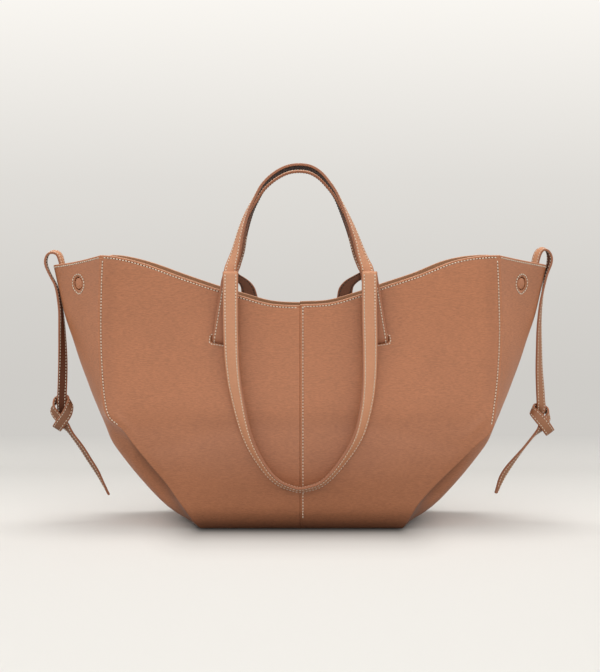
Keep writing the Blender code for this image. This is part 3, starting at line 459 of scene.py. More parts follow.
def foot_tuck(points):
    """Draws the foot of the wall in under the bag, round like a soft bottom edge."""
    drop = np.clip(1.0 - points[..., 2] / FOOT_HEIGHT, 0.0, 1.0)
    amount = FOOT_TUCK * (1.0 - np.sqrt(1.0 - drop**2))
    direction = unit(np.stack([points[..., 0] / 0.0165, points[..., 1] / 0.0040,
                               np.zeros(points.shape[:-1])], axis=-1))
    return points - direction * amount[..., None]


def relief(u, points):
    """Lift of the leather off its plain shape: soft folds, and the slack beside the side seams."""
    _, facing, way = fold_back(u)
    x, z = points[..., 0] * 1000.0, points[..., 2] * 1000.0
    lift = np.zeros(x.shape)
    for cx, cz, half_length, half_height, tilt, height in PANEL_FOLDS:
        c, s = math.cos(math.radians(tilt)), math.sin(math.radians(tilt))
        along, across = (x - cx) * c + (z - cz) * s, (z - cz) * c - (x - cx) * s
        lift += height * np.exp(-(along / half_length)**2 - (across / half_height)**2)
    lift += 0.35 * np.sin(x / 31.0 + 0.8 * facing) * np.sin(z / 27.0 + 0.5) * fade(z, 20.0, 60.0)
    from_seam = (1.0 - np.minimum(way, 1.0)) * 208.0
    panel = lift * fade(from_seam, 0.0, 14.0)
    panel -= 0.9 * np.exp(-((from_seam - 14.0) / 9.0)**2) * fade(z, 118.0, 150.0) * fade(-z, -275.0, -240.0)
    around = np.clip(way - 1.0, 0.0, 1.0)
    wing = 0.5 * np.sin(z / 24.0 + around * 3.0) * fade(around, 0.0, 0.3) * fade(1.0 - around, 0.0, 0.2)
    wing = wing * fade(-z, -240.0, -215.0)
    reach = 0.30 + 0.55 * fade(-z, -108.0, -50.0)
    tucked = fade(around, 0.0, 0.15) * (1.0 - fade(around, 0.16, reach))
    wing = wing - 6.5 * tucked * fade(z, 10.0, 45.0) * (1.0 - fade(z, 86.0, 108.0))
    return np.where(way <= 1.0, panel, wing) * fade(z, 8.0, 30.0) / 1000.0


def wall(u, height, middle):
    """Finished outer face of the wall, and its outward direction.

    At a side seam that is sewn, the direction is that of the piece with the given middle, 0 to 4.
    """
    u, height = np.broadcast_arrays(np.asarray(u, float), np.asarray(height, float))

    def plain(du, dh):
        return foot_tuck(soft_band(u + du, height + dh))

    centre = plain(0.0, 0.0)
    turn = np.mod(u, 4.0)
    first, last = np.abs(turn - 1.0) < TURN_STEP, np.abs(turn - 3.0) < TURN_STEP
    sewn = (fade(height, SEAM_END_HEIGHT - 0.006, SEAM_END_HEIGHT) > 0.5) & (first | last)
    owner = np.where(first, np.sign(middle - 1.0), np.sign(middle - 3.0))
    ahead = np.where(sewn & (owner < 0), 0.0, TURN_STEP)
    behind = np.where(sewn & (owner > 0), 0.0, TURN_STEP)
    along = plain(ahead, 0.0) - plain(-behind, 0.0)
    rise = plain(0.0, HEIGHT_STEP) - plain(0.0, -HEIGHT_STEP)
    normal = unit(np.cross(along, rise))
    return centre + normal * relief(u, centre)[..., None], normal


def band_frame(u, height):
    """Point, outward and upward directions of the plain wall."""
    step_share = 0.02
    up = (height - BOTTOM) / (float(rim(u)) - BOTTOM)

    def at(place, share):
        return band(place, BOTTOM + share * (rim(place) - BOTTOM))

    point = at(u, up)
    ahead, behind = unit(at(u + step_share, up) - point), unit(point - at(u - step_share, up))
    rise = unit(at(u, min(up + step_share, 1.0)) - at(u, max(up - step_share, 0.0)))
    return point, unit(np.cross(unit(ahead + behind), rise)), rise


# Mesh helpers
def opaque(colour):
    return (colour[0], colour[1], colour[2], 1.0)


def put_in_scene(name, data):
    """A new object that shows the data, in the scene."""
    made = bpy.data.objects.new(name, data)
    bpy.context.scene.collection.objects.link(made)
    return made


def add_piece(name, vertices, faces, materials, body, face_materials=None, smooth=True):
    """A mesh piece with its materials, that rides on a body when one is named."""
    mesh = bpy.data.meshes.new(name)
    mesh.from_pydata([tuple(v) for v in np.asarray(vertices, float)], [], faces)
    for finish in materials:
        mesh.materials.append(finish)
    if face_materials is not None:
        mesh.polygons.foreach_set("material_index", np.asarray(face_materials, dtype=np.int32))
    mesh.polygons.foreach_set("use_smooth", np.full(len(mesh.polygons), smooth))
    piece = put_in_scene(name, mesh)
    if isinstance(body, str):
        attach(piece, body)
    else:
        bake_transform(piece)
    return piece


def write_shade(piece, shade_at):
    """Stores how deep the painted shade lies on a piece, 0 to 1, at each of its points."""
    places = np.empty(len(piece.data.vertices) * 3)
    piece.data.vertices.foreach_get("co", places)
    layer = piece.data.attributes.new("shade", "FLOAT", "POINT")
    layer.data.foreach_set("value", shade_at(places.reshape(-1, 3)).astype(np.float32))


def wall_shade(points):
    """Painted shade: darker low on the bag and at its foot, behind the creases, beside the seams and the
    straps, and high on the wings.
    """
    x, z = np.abs(points[:, 0]) * 1000.0, points[:, 2] * 1000.0
    seam = seam_half_width(points[:, 0], points[:, 2]) * 1000.0
    past = x - seam
    around = np.clip(past / np.maximum(tip_half_width(points[:, 2]) * 1000.0 - seam, 1.0), 0.0, 1.0)
    reach = 0.26 + 0.46 * fade(-z, -108.0, -50.0)
    crease = 0.62 * fade(past, -0.5, 1.5) * (1.0 - fade(around, 0.05, reach))
    crease *= (1.0 - fade(z, 90.0, 112.0)) * fade(z, -10.0, 25.0)
    low = 0.20 * (1.0 - fade(z, 60.0, 160.0)) * (1.0 - fade(past, -1.0, 1.0))
    foot = 0.46 * (1.0 - fade(z, 0.0, 27.0))
    beside = 0.10 * np.exp(-((-past - 9.0) / 7.0)**2) * fade(z, 118.0, 150.0)
    top = 0.10 * fade(z, 215.0, 262.0) * fade(past, -1.0, 1.0)
    fold = 0.07 * np.exp(-((z - 112.0) / 9.0)**2) * fade(-x, -190.0, -90.0)
    strap = 0.07 * np.exp(-((x - 88.0) / 9.0)**2) * fade(z, 150.0, 190.0)
    return np.clip(crease + low + foot + beside + top + fold + strap, 0.0, 0.9)


def clean(piece, join=True):
    """Joins points that lie on each other, where wanted, and turns the faces outward."""
    edit = bmesh.new()
    edit.from_mesh(piece.data)
    if join:
        bmesh.ops.remove_doubles(edit, verts=edit.verts, dist=1e-6)
        bmesh.ops.dissolve_degenerate(edit, edges=edit.edges, dist=1e-7)
    bmesh.ops.recalc_face_normals(edit, faces=edit.faces)
    edit.to_mesh(piece.data)
    edit.free()


def apply_modifiers(piece):
    """Replaces a piece's mesh by what its modifiers make of it."""
    graph = bpy.context.evaluated_depsgraph_get()
    mesh = bpy.data.meshes.new_from_object(piece.evaluated_get(graph))
    old = piece.data
    piece.modifiers.clear()
    piece.data = mesh
    bpy.data.meshes.remove(old)


def cut(piece, vertices, faces, name):
    """Cuts a closed shape out of a piece."""
    mesh = bpy.data.meshes.new(name)
    mesh.from_pydata([tuple(v) for v in vertices], [], faces)
    cutter = put_in_scene(name, mesh)
    clean(cutter)
    modifier = piece.modifiers.new(name, "BOOLEAN")
    modifier.operation = "DIFFERENCE"
    modifier.solver = "EXACT"
    modifier.object = cutter
    apply_modifiers(piece)
    bpy.data.objects.remove(cutter, do_unlink=True)
    bpy.data.meshes.remove(mesh)


def prism(outline, depth_low, depth_high, place, across, upward, outward):
    """Vertices and faces of a closed prism over an outline, between two depths."""
    count = len(outline)
    vertices = [place + across * a + upward * b + outward * depth
                for depth in (depth_low, depth_high) for a, b in outline]
    faces = [tuple(range(count)), tuple(range(2 * count - 1, count - 1, -1))]
    faces += [(k, k + count, (k + 1) % count + count, (k + 1) % count) for k in range(count)]
    return vertices, faces


def rounded_rectangle(width, height, radius, steps=6):
    outline = []
    for quarter, (sx, sy) in enumerate(((1, 1), (-1, 1), (-1, -1), (1, -1))):
        for k in range(steps + 1):
            angle = math.pi / 2.0 * (quarter + k / steps)
            outline.append((sx * (width / 2.0 - radius) + radius * math.cos(angle),
                            sy * (height / 2.0 - radius) + radius * math.sin(angle)))
    return np.array(outline)


def circle(radius, steps=64):
    angle = 2.0 * np.pi * np.arange(steps) / steps
    return np.column_stack([radius * np.cos(angle), radius * np.sin(angle)])


def outline_inward(outline):
    """Inward directions along a closed outline that runs anticlockwise."""
    tangent = np.roll(outline, -1, axis=0) - np.roll(outline, 1, axis=0)
    return unit(np.column_stack([-tangent[:, 1], tangent[:, 0]]))


def tube_faces(rings, count):
    """Faces between closed rings of points, and over both ends."""
    faces = []
    for r in range(rings - 1):
        for k in range(count):
            n = (k + 1) % count
            faces.append((r * count + k, (r + 1) * count + k, (r + 1) * count + n, r * count + n))
    last = (rings - 1) * count
    return faces + [tuple(range(count)), tuple(range(last + count - 1, last - 1, -1))]


def plate(name, outline, rings, place, across, upward, outward, materials, body, slot, edge_rings=()):
    """A closed sheet over an outline: rings of (inset, height), from the back's middle to the front's."""
    inward = outline_inward(outline)
    vertices = [placed(outline + inward * inset, place + outward * height, across, upward)
                for inset, height in rings]
    indices = [int(r in edge_rings) for r in range(len(rings) - 1) for _ in outline] + [0, 0]
    piece = add_piece(name, np.concatenate(vertices), tube_faces(len(rings), len(outline)), materials, body,
                      indices)
    clean(piece)
    return piece


def edge_profile(thickness, radius, inset=0.0):
    """Rings of a flat sheet with rounded edges, from the back's middle over the edge to the front's."""
    inset = inset or radius * 3.0
    turns = [math.pi / 2.0 * k / 4 for k in range(5)]
    back = [(radius - radius * math.sin(a), radius - radius * math.cos(a)) for a in turns]
    front = [(radius - radius * math.cos(a), thickness - radius + radius * math.sin(a)) for a in turns]
    return [(inset, 0.0)] + back + front + [(inset, thickness)]


# Stitches
def stitch_shape(length, radius):
    """One stitch: a short thread that rises out of its hole, lies on the leather and dips again."""
    # Place along the stitch, lift and girth
    rings = ((-0.50, -0.9, 0.55), (-0.46, 0.0, 0.85), (-0.26, 0.62, 1.0), (0.0, 0.78, 1.05),
             (0.26, 0.62, 1.0), (0.46, 0.0, 0.85), (0.50, -0.9, 0.55))
    angles = 2.0 * np.pi * np.arange(STITCH_SIDES) / STITCH_SIDES
    points = [(place * length, radius * girth * math.cos(angle),
               radius * (lift * 0.55 + girth * 0.85 * math.sin(angle)))
              for place, lift, girth in rings for angle in angles]
    return np.array(points), tube_faces(len(rings), STITCH_SIDES)


def hole_shape(radius):
    """A needle hole between two stitches: a low closed lens, dark with painted shade."""
    angles = 2.0 * np.pi * np.arange(8) / 8
    ring = np.column_stack([radius * np.cos(angles), radius * 0.8 * np.sin(angles), np.zeros(8)])
    points = np.vstack([ring, [0.0, 0.0, radius * 0.22], [0.0, 0.0, -radius * 0.4]])
    faces = [(k, (k + 1) % 8, 8) for k in range(8)] + [((k + 1) % 8, k, 9) for k in range(8)]
    return points, faces


def copies(shape, centre, forward, side, outward, size=1.0):
    """A shape at each centre, laid along the three directions there."""
    length = shape[None, :, :1] * np.reshape(size, (-1, 1, 1))
    return (centre[:, None] + forward[:, None] * length + side[:, None] * shape[None, :, 1:2]
            + outward[:, None] * shape[None, :, 2:])


def stitches(name, body, rows, radius=None, thread="thread"):
    """Sewn rows in one piece: each row gives stitch centres, lengthwise and outward directions."""
    rng = np.random.default_rng(RANDOM_SEED + len(name))
    radius = radius or sizes().thread_radius
    shape, shape_faces = stitch_shape(sizes().stitch_pitch * sizes().stitch_share, radius)
    hole, hole_faces = hole_shape(radius * 0.95)
    vertices, faces, indices, total = [], [], [], 0
    for centre, along, outward in rows:
        count = len(centre)
        side = unit(np.cross(outward, along))
        turn = rng.normal(0.0, 0.035, count)
        forward = unit(along * np.cos(turn)[:, None] + side * np.sin(turn)[:, None])
        side = unit(np.cross(outward, forward))
        size = 1.0 + rng.normal(0.0, 0.03, count)
        gap = centre[:-1] + (centre[1:] - centre[:-1]) / 2.0
        block = copies(shape, centre, forward, side, outward, size)
        pits = copies(hole, gap, forward[:-1], side[:-1], outward[:-1])
        for group, group_faces, index in ((block, shape_faces, 0), (pits, hole_faces, 1)):
            for points in group:
                faces += [tuple(total + i for i in face) for face in group_faces]
                indices += [index] * len(group_faces)
                vertices.append(points)
                total += len(points)
    return add_piece(name, np.concatenate(vertices), faces, [material(thread), material("needle_hole")],
                     body, indices)


def spaced(points, pitch, margin=0.0):
    """Distances along a line of points, and the places every pitch along it."""
    along = distances(points)
    count = max(int(round((along[-1] - 2.0 * margin) / pitch)), 1)
    return along, margin + (np.arange(count) + 0.5) * (along[-1] - 2.0 * margin) / count


def sample(values, along, places):
    """Values at places between the points of a line."""
    return np.column_stack([np.interp(places, along, column) for column in values.T])


def steps_along(points):
    return np.column_stack([np.gradient(column) for column in points.T])


def line_row(line, outward, pitch_share=1.0):
    """A row of stitches along a line of points, all facing one way."""
    along, places = spaced(line, sizes().stitch_pitch * pitch_share)
    centre = sample(line, along, places)
    return centre, unit(steps_along(centre)), np.tile(outward, (len(centre), 1))


def closed(outline):
    return np.vstack([outline, outline[:1]])


def placed(outline, place, across, upward):
    """Points of a flat outline, laid on the bag."""
    return place + outline[:, :1] * across + outline[:, 1:] * upward


def wall_row(u, height, middle, margin=0.0):
    """A row of stitches over the wall, through places given by u and height."""
    u, height = np.asarray(u, float), np.asarray(height, float)
    points, _ = wall(u, height, middle)
    along, places = spaced(points, sizes().stitch_pitch, margin)
    centre, normal = wall(np.interp(places, along, u), np.interp(places, along, height), middle)
    tangent = steps_along(centre)
    return centre, unit(tangent - normal * (tangent * normal).sum(axis=1)[:, None]), normal


# Straps
def strap_profile(width, thickness, inset):
    """Cross-section of a sewn strap, and each point's finish: grain side 0, painted edge 1, back 2."""
    half, thick = width / 2.0, thickness / 2.0
    inner = half - inset
    # Place across the strap, and share of half its thickness there, with a groove for the stitches
    left_part = [(-half + 0.20 * thick, 0.78), (-half + 0.60 * thick, 0.93), (-inner - 0.0007, 0.93),
                 (-inner, 0.83), (-inner + 0.0008, 0.95), (-inner * 0.5, 0.99)]
    face = left_part + [(0.0, 1.0)] + [(-a, b) for a, b in reversed(left_part)]
    edge = [(half - 0.04 * thick, 0.50), (half, 0.26), (half - 0.30 * thick, 0.0), (half, -0.26),
            (half - 0.04 * thick, -0.50)]
    front = [(a, b * thick) for a, b in face]
    right = [(a, b * thick) for a, b in edge]
    back = [(a, -b * thick) for a, b in reversed(face)]
    left = [(-a, b * thick) for a, b in reversed(edge)]
    points = front + right + back + left
    finish = [1 if abs(a) > half - 0.60 * thick - 1e-9 else 0 if b > 0.0 else 2 for a, b in points]
    return np.array(points), finish


def path_frames(points, normals):
    """Lengthwise, sideways and face directions along a path."""
    tangent = np.empty_like(points)
    tangent[1:-1] = points[2:] - points[:-2]
    tangent[0], tangent[-1] = points[1] - points[0], points[-1] - points[-2]
    tangent = unit(tangent)
    side = unit(np.cross(tangent, normals))
    return tangent, side, unit(np.cross(side, tangent))


def blur(values, passes):
    """Evens out values along a path, and keeps its ends."""
    values = values.copy()
    for _ in range(passes):
        values[1:-1] = 0.25 * values[:-2] + 0.5 * values[1:-1] + 0.25 * values[2:]
    return values


def resample(spacing, points, *others):
    """Evens the spacing along a path, and of the values that go with it."""
    along = distances(points)
    places = np.linspace(0.0, along[-1], max(int(along[-1] / spacing), 4))
    return [sample(values, along, places) for values in (points, *others)]


def sweep(name, points, normals, width, thickness, inset, body, scales=None,
          round_ends=True, materials=None):
    """A strap swept along a path."""
    profile, finish = strap_profile(width, thickness, inset)
    tangent, side, face = path_frames(points, normals)
    scales = np.ones(len(points)) if scales is None else scales
    rings = list(points[:, None, :] + side[:, None, :] * (profile[None, :, :1] * scales[:, None, None])
                 + face[:, None, :] * profile[None, :, 1:2])
    if round_ends:
        for end, direction in ((0, -1.0), (-1, 1.0)):
            cap = []
            for step, shrink in ((0.35, 0.94), (0.75, 0.72), (1.0, 0.35)):
                centre = points[end] + tangent[end] * direction * thickness / 2.0 * step
                cap.append(centre + side[end] * profile[:, :1] * scales[end] * (1.0 - (1 - shrink) * 0.15)
                           + face[end] * profile[:, 1:2] * shrink)
            rings = cap[::-1] + rings if end == 0 else rings + cap
    around = [1 if a == b == 1 else 2 if 2 in (a, b) else 0 for a, b in zip(finish, finish[1:] + finish[:1])]
    materials = materials or [material("strap_leather"), material("edge_paint"), material("strap_back")]
    piece = add_piece(name, np.concatenate(rings), tube_faces(len(rings), len(profile)), materials, body,
                      around * (len(rings) - 1) + [1, 1])
    clean(piece, join=False)
    return piece


def strap_rows(points, normals, width, thickness, inset, scales, margin=0.004):
    """Rows of stitches along both edges of a strap, on its faces."""
    tangent, side, face = path_frames(points, normals)
    along, places = spaced(points, sizes().stitch_pitch, margin)
    middle, sideways = sample(points, along, places), sample(side, along, places)
    offset = (width / 2.0 - inset) * np.interp(places, along, scales)
    rows = []
    for front in (1.0, -1.0):
        outward = unit(sample(face, along, places)) * front
        for edge in (-1.0, 1.0):
            centre = middle + sideways * (edge * offset)[:, None] + outward * thickness / 2.0 * 0.86
            rows.append((centre, unit(sample(tangent, along, places)), outward))
    return rows


def chosen_rows(rows, wanted):
    """The stitches whose places are wanted, in rows that end at the middle of the bag."""
    kept = []
    for row in rows:
        for half in (row[0][:, 0] < 0.0, row[0][:, 0] >= 0.0):
            keep = wanted(row[0]) & half
            if keep.any():
                kept.append([part[keep] for part in row])
    return kept


def slot_frame(side, facing):
    """Where a strap slot sits on the wall: place, strap direction, across and outward."""
    u = place_along(side, facing, SLOT_HALF_SPACING / float(seam_half_width(side, SLOT_HEIGHT)))
    point, outward, rise = band_frame(u, SLOT_HEIGHT)
    outward, rise = unit(outward * UPRIGHT_PLANE), unit(rise * UPRIGHT_PLANE)
    upward = unit(rise * math.cos(SLOT_LEAN) - np.array([side, 0.0, 0.0]) * math.sin(SLOT_LEAN))
    return point, upward, unit(np.cross(upward, outward)), outward


def threaded_root(side, facing, layer, top):
    """Path of a strap's fixed end: the tail inside, the turn through the slot, the rise outside."""
    place, upward, _, outward = slot_frame(side, facing)
    outside = INNER_LAYER if layer == 0 else OUTER_LAYER
    inside = OUTER_LAYER if layer == 0 else INNER_LAYER
    half_slot = LAYER_STEP / 2.0 + INNER_LAYER
    inner_face = -WALL_THICKNESS
    points, normals = [], []

    def put(u, w, normal_u, normal_w):
        points.append(place + upward * u + outward * w)
        normals.append(unit(upward * normal_u + outward * normal_w))

    for k in range(12):
        put(-half_slot - STRAP_TAIL * (1.0 - k / 12.0), inner_face - inside, 0.0, 1.0)
    for k in range(9):
        angle = math.pi / 2.0 * k / 8.0
        put(-half_slot + inside * math.sin(angle), inner_face - inside * math.cos(angle),
            -math.sin(angle), math.cos(angle))
    for k in range(1, 9):
        angle = math.pi / 2.0 * k / 8.0
        put(half_slot - outside * math.cos(angle), outside * math.sin(angle),
            -math.cos(angle), math.sin(angle))
    start, forward = points[-1], np.array([0.0, facing, 0.0])
    straight = 40
    for k in range(1, straight + 1):
        points.append(start + (top - start) * k / straight)
        normals.append(unit(outward + (forward - outward) * min(1.0, k / 6.0)))
    return np.array(points), np.array(normals)


def arch_path(facing):
    """Path of a short handle above its hinge line, from the left leg to the right."""
    forward = np.array([0.0, facing, 0.0])
    lean = np.array(Matrix.Rotation(facing * HANDLE_LEAN, 3, "X"))
    foot = np.array([0.0, facing * HANDLE_HINGE_DEPTH, HANDLE_HINGE_HEIGHT])
    shape = [(x * STRAP_HALF_SPACING, 0.0, z * HANDLE_RISE) for x, z in HANDLE_SHARES]
    points = smooth_path(shape, 176)
    if facing > 0.0:
        near_foot = np.clip(1.0 - points[:, 2] / 0.0175, 0.0, 1.0)
        points[:, 0] += np.sign(points[:, 0]) * BACK_HANDLE_SPREAD * near_foot
    tangent, _, _ = path_frames(points, np.tile(forward, (len(points), 1)))
    outward = np.column_stack([-tangent[:, 2], np.zeros(len(points)), tangent[:, 0]])
    turn = np.radians(curve(HANDLE_TWIST, HANDLE_HINGE_HEIGHT + points[:, 2]))
    normals = forward * np.cos(turn)[:, None] + outward * np.sin(turn)[:, None]
    return foot + points @ lean.T, normals @ lean.T


def handle_path(facing):
    """The whole short handle: up from one slot, over the arch and down to the other."""
    spread = BACK_HANDLE_SPREAD if facing > 0.0 else 0.0
    ends = []
    for side, share in ((-1.0, HANDLE_SHARES[0][0]), (1.0, HANDLE_SHARES[-1][0])):
        top = np.array([share * STRAP_HALF_SPACING + side * spread, facing * HANDLE_HINGE_DEPTH,
                        HANDLE_HINGE_HEIGHT - STRAP_THICKNESS / 2.0 - SEWN_GAP])
        ends.append(threaded_root(side, facing, 0, top))
    left, arch, right = ends[0], arch_path(facing), ends[1]
    return [np.concatenate([a, b, c[::-1]]) for a, b, c in zip(left, arch, right)]


def hanging_path(facing, shares, drop):
    """Path of the part of a long strap that hangs in a loop outside the bag."""
    turn_limit = math.radians(72.0)
    top_depth = HANDLE_HINGE_DEPTH + 2.0 * LAYER_STEP
    rest = BASE_HALF_DEPTH * max(value for _, value in MIDDLE_DEPTH_SHARES)
    bottom_depth = rest + STRAP_WIDTH * math.sin(turn_limit) / 2.0 + LAYER_STEP
    shares = np.array(shares)
    depth = top_depth + (bottom_depth - top_depth) * curve(FRONT_HANG_SHARES, shares[:, 1])
    shape = np.column_stack([shares[:, 0] * STRAP_HALF_SPACING, facing * depth,
                             FOLD_HEIGHT - SEWN_GAP - shares[:, 1] * drop])
    points = smooth_path(shape, 264)
    forward = np.array([0.0, facing, 0.0])
    tangent, _, _ = path_frames(points, np.tile(forward, (len(points), 1)))
    outward = unit(np.column_stack([tangent[:, 2], np.zeros(len(points)), -tangent[:, 0]]))
    turn = turn_limit * np.sin(np.pi * np.linspace(0.0, 1.0, len(points)))**2.2
    return points, forward * np.cos(turn)[:, None] + outward * np.sin(turn)[:, None]


def long_strap_path(facing, shares, drop):
    """The whole long strap: up from one slot, over its fold, the hanging loop, and back."""
    hang, hang_normals = hanging_path(facing, shares, drop)
    spread = BACK_STRAP_SPREAD if facing > 0.0 else 0.0
    shift = LAYER_STEP / 2.0
    parts, part_normals = [], []
    for side, end in ((-1.0, 0), (1.0, -1)):
        top = np.array([side * (STRAP_HALF_SPACING + spread), facing * (HANDLE_HINGE_DEPTH + LAYER_STEP),
                        FOLD_HEIGHT - SEWN_GAP])
        root, normals = threaded_root(side, facing, 1, top)
        share = np.arange(1, 12) / 12.0
        angle = np.pi * share
        bend = np.column_stack([top[0] + (hang[end][0] - top[0]) * share,
                                top[1] + facing * shift * (1.0 - np.cos(angle)),
                                top[2] + shift * np.sin(angle)])
        bend_normals = np.column_stack([np.zeros(11), -facing * np.cos(angle), np.sin(angle)])
        order = 1 if end == 0 else -1
        parts.append(np.concatenate([root, bend])[::order])
        part_normals.append(np.concatenate([-normals, bend_normals])[::order])
    return (np.concatenate([parts[0], hang, parts[1]]),
            np.concatenate([part_normals[0], hang_normals, part_normals[1]]))


def tie_path(side):
    """The whole side tie: up inside the wing, over its tip, down, through the knot and the tail."""
    turns = np.array(LEFT_TIE_TURNS if side < 0.0 else RIGHT_TIE_TURNS)
    rows = np.column_stack([turns[:, :3] / 1000.0, unit(turns[:, 3:6]), turns[:, 6]])
    path = smooth_path(rows, 480)
    return path[:, :3], unit(path[:, 3:6]), path[:, 6]


# Materials
def fill(tree, made, **sockets):
    """Sets a node's sockets, by name or by number, to values or to what other nodes give."""
    for key, value in sockets.items():
        socket = made.inputs[int(key[1:]) if key[1:].isdigit() else key.replace("_", " ")]
        if isinstance(value, bpy.types.NodeSocket):
            tree.links.new(value, socket)
        else:
            socket.default_value = value


def node(tree, kind, settings=None, **sockets):
    """A shader node with its own settings and its sockets filled."""
    made = tree.nodes.new(kind)
    for key, value in (settings or {}).items():
        setattr(made, key, value)
    fill(tree, made, **sockets)
    return made


def maths(tree, operation, *values):
    """What one arithmetic node gives."""
    sockets = {"_" + str(k): value for k, value in enumerate(values)}
    return node(tree, "ShaderNodeMath", {"operation": operation}, **sockets).outputs[0]


def span(tree, value, low, high, top=1.0, bottom=0.0):
    """Stretches the span from low to high onto the span from bottom to top."""
    return node(tree, "ShaderNodeMapRange", Value=value, From_Min=low, From_Max=high, To_Min=bottom,
                To_Max=top).outputs[0]


def mix(tree, share, first, second, how="MIX"):
    """A blend of two colours."""
    return node(tree, "ShaderNodeMix", {"data_type": "RGBA", "blend_type": how}, _0=share, _6=first,
                _7=second).outputs[2]


def noise(tree, place, scale, detail, **sockets):
    return node(tree, "ShaderNodeTexNoise", Vector=place, Scale=scale, Detail=detail, **sockets).outputs[0]


def stretched(tree, scale):
    """Places in the object's own space, stretched along its axes."""
    place = node(tree, "ShaderNodeTexCoord").outputs["Object"]
    return node(tree, "ShaderNodeMapping", Vector=place, Scale=scale).outputs[0]


def grain_group():
    """Pebbled leather: colour that changes softly over the skin, roughness and grain height."""
    group = bpy.data.node_groups.get("leather_grain")
    if group:
        return group
    group = bpy.data.node_groups.new("leather_grain", "ShaderNodeTree")
    face = group.interface
    for label, value in (("Light Colour", (0.5, 0.2, 0.1, 1.0)), ("Deep Colour", (0.3, 0.1, 0.05, 1.0))):
        face.new_socket(label, in_out="INPUT", socket_type="NodeSocketColor").default_value = value
    for label, value in (("Grain Count", 950.0), ("Mottle", 0.35), ("Roughness", 0.5), ("Lines", 0.2)):
        face.new_socket(label, in_out="INPUT", socket_type="NodeSocketFloat").default_value = value
    for label, kind in (("Colour", "Color"), ("Roughness", "Float"), ("Height", "Float")):
        face.new_socket(label, in_out="OUTPUT", socket_type="NodeSocket" + kind)
    entry = node(group, "NodeGroupInput").outputs
    place = node(group, "ShaderNodeTexCoord").outputs["Object"]
    skin = stretched(group, (0.62, 0.62, 1.25))
    pebble = node(group, "ShaderNodeTexVoronoi", {"feature": "SMOOTH_F1"}, Vector=skin,
                  Scale=entry["Grain Count"]).outputs["Distance"]
    pores = noise(group, skin, 2600.0, 2.0)
    clouds = noise(group, place, 11.0, 4.0, Roughness=0.6)
    spots = noise(group, place, 140.0, 3.0)
    streaks = noise(group, stretched(group, (1.7, 1.7, 14.0)), 150.0, 0.0, Distortion=0.2)
    height = maths(group, "MULTIPLY_ADD", pores, 0.35, maths(group, "SUBTRACT", 1.0, pebble))
    patches = span(group, maths(group, "MULTIPLY_ADD", spots, 0.35, clouds), 0.45, 0.92)
    amount = maths(group, "MULTIPLY", patches, entry["Mottle"])
    pitted = maths(group, "ADD", amount, span(group, pebble, 0.25, 0.75, 0.22))
    deep = maths(group, "ADD", pitted, span(group, streaks, 0.36, 0.66, entry["Lines"]))
    gloss = maths(group, "MULTIPLY_ADD", pores, 0.16, entry["Roughness"])
    node(group, "NodeGroupOutput", Colour=mix(group, deep, entry["Light Colour"], entry["Deep Colour"]),
         Roughness=gloss, Height=height)
    return group


def plain_material(name):
    made = bpy.data.materials.new(name)
    made.use_nodes = True
    return made, made.node_tree, made.node_tree.nodes["Principled BSDF"]


def dimmed(colour, *shares):
    """A colour times one share, or one share for each of red, green and blue."""
    shares = shares if len(shares) > 1 else shares * 3
    return [c * share for c, share in zip(colour, shares)]


def leather_material(name, colour, deep_share, grain, mottle, roughness, bump, specular, lines, shaded):
    """Leather with its grain, in one colour, that may darken with painted shade where the piece's shade
    attribute says so.
    """
    made, tree, shader = plain_material(name)
    group = node(tree, "ShaderNodeGroup", {"node_tree": grain_group()}, Light_Colour=opaque(colour),
                 Deep_Colour=opaque(dimmed(colour, deep_share)), Grain_Count=1.0 / grain, Mottle=mottle,
                 Roughness=roughness, Lines=lines).outputs
    tone = group["Colour"]
    if shaded:
        shade = node(tree, "ShaderNodeAttribute", {"attribute_name": "shade"}).outputs["Fac"]
        # Painted shade: the colour darkens towards a near-black brown by the piece's shade attribute.
        tone = mix(tree, shade, tone, opaque(dimmed(colour, 0.06, 0.035, 0.03)))
    grained = node(tree, "ShaderNodeBump", Height=group["Height"], Strength=bump, Distance=GRAIN_DEPTH)
    fill(tree, shader, Base_Color=tone, Roughness=group["Roughness"], Normal=grained.outputs[0],
         Specular_IOR_Level=specular)
    return made


def noise_material(name, colour, second, scale, roughness, bump, distance, specular=0.4,
                   stretch=(1.0, 1.0, 1.0), metallic=0.0):
    """A finish whose colour and surface change with one stretched noise."""
    made, tree, shader = plain_material(name)
    change = noise(tree, stretched(tree, stretch), scale, 4.0, Roughness=0.6)
    uneven = node(tree, "ShaderNodeBump", Height=change, Strength=bump, Distance=distance)
    fill(tree, shader, Base_Color=mix(tree, change, opaque(colour), opaque(second)),
         Roughness=span(tree, change, 0.0, 1.0, roughness + 0.08, roughness - 0.08),
         Normal=uneven.outputs[0], Metallic=metallic, Specular_IOR_Level=specular)
    return made


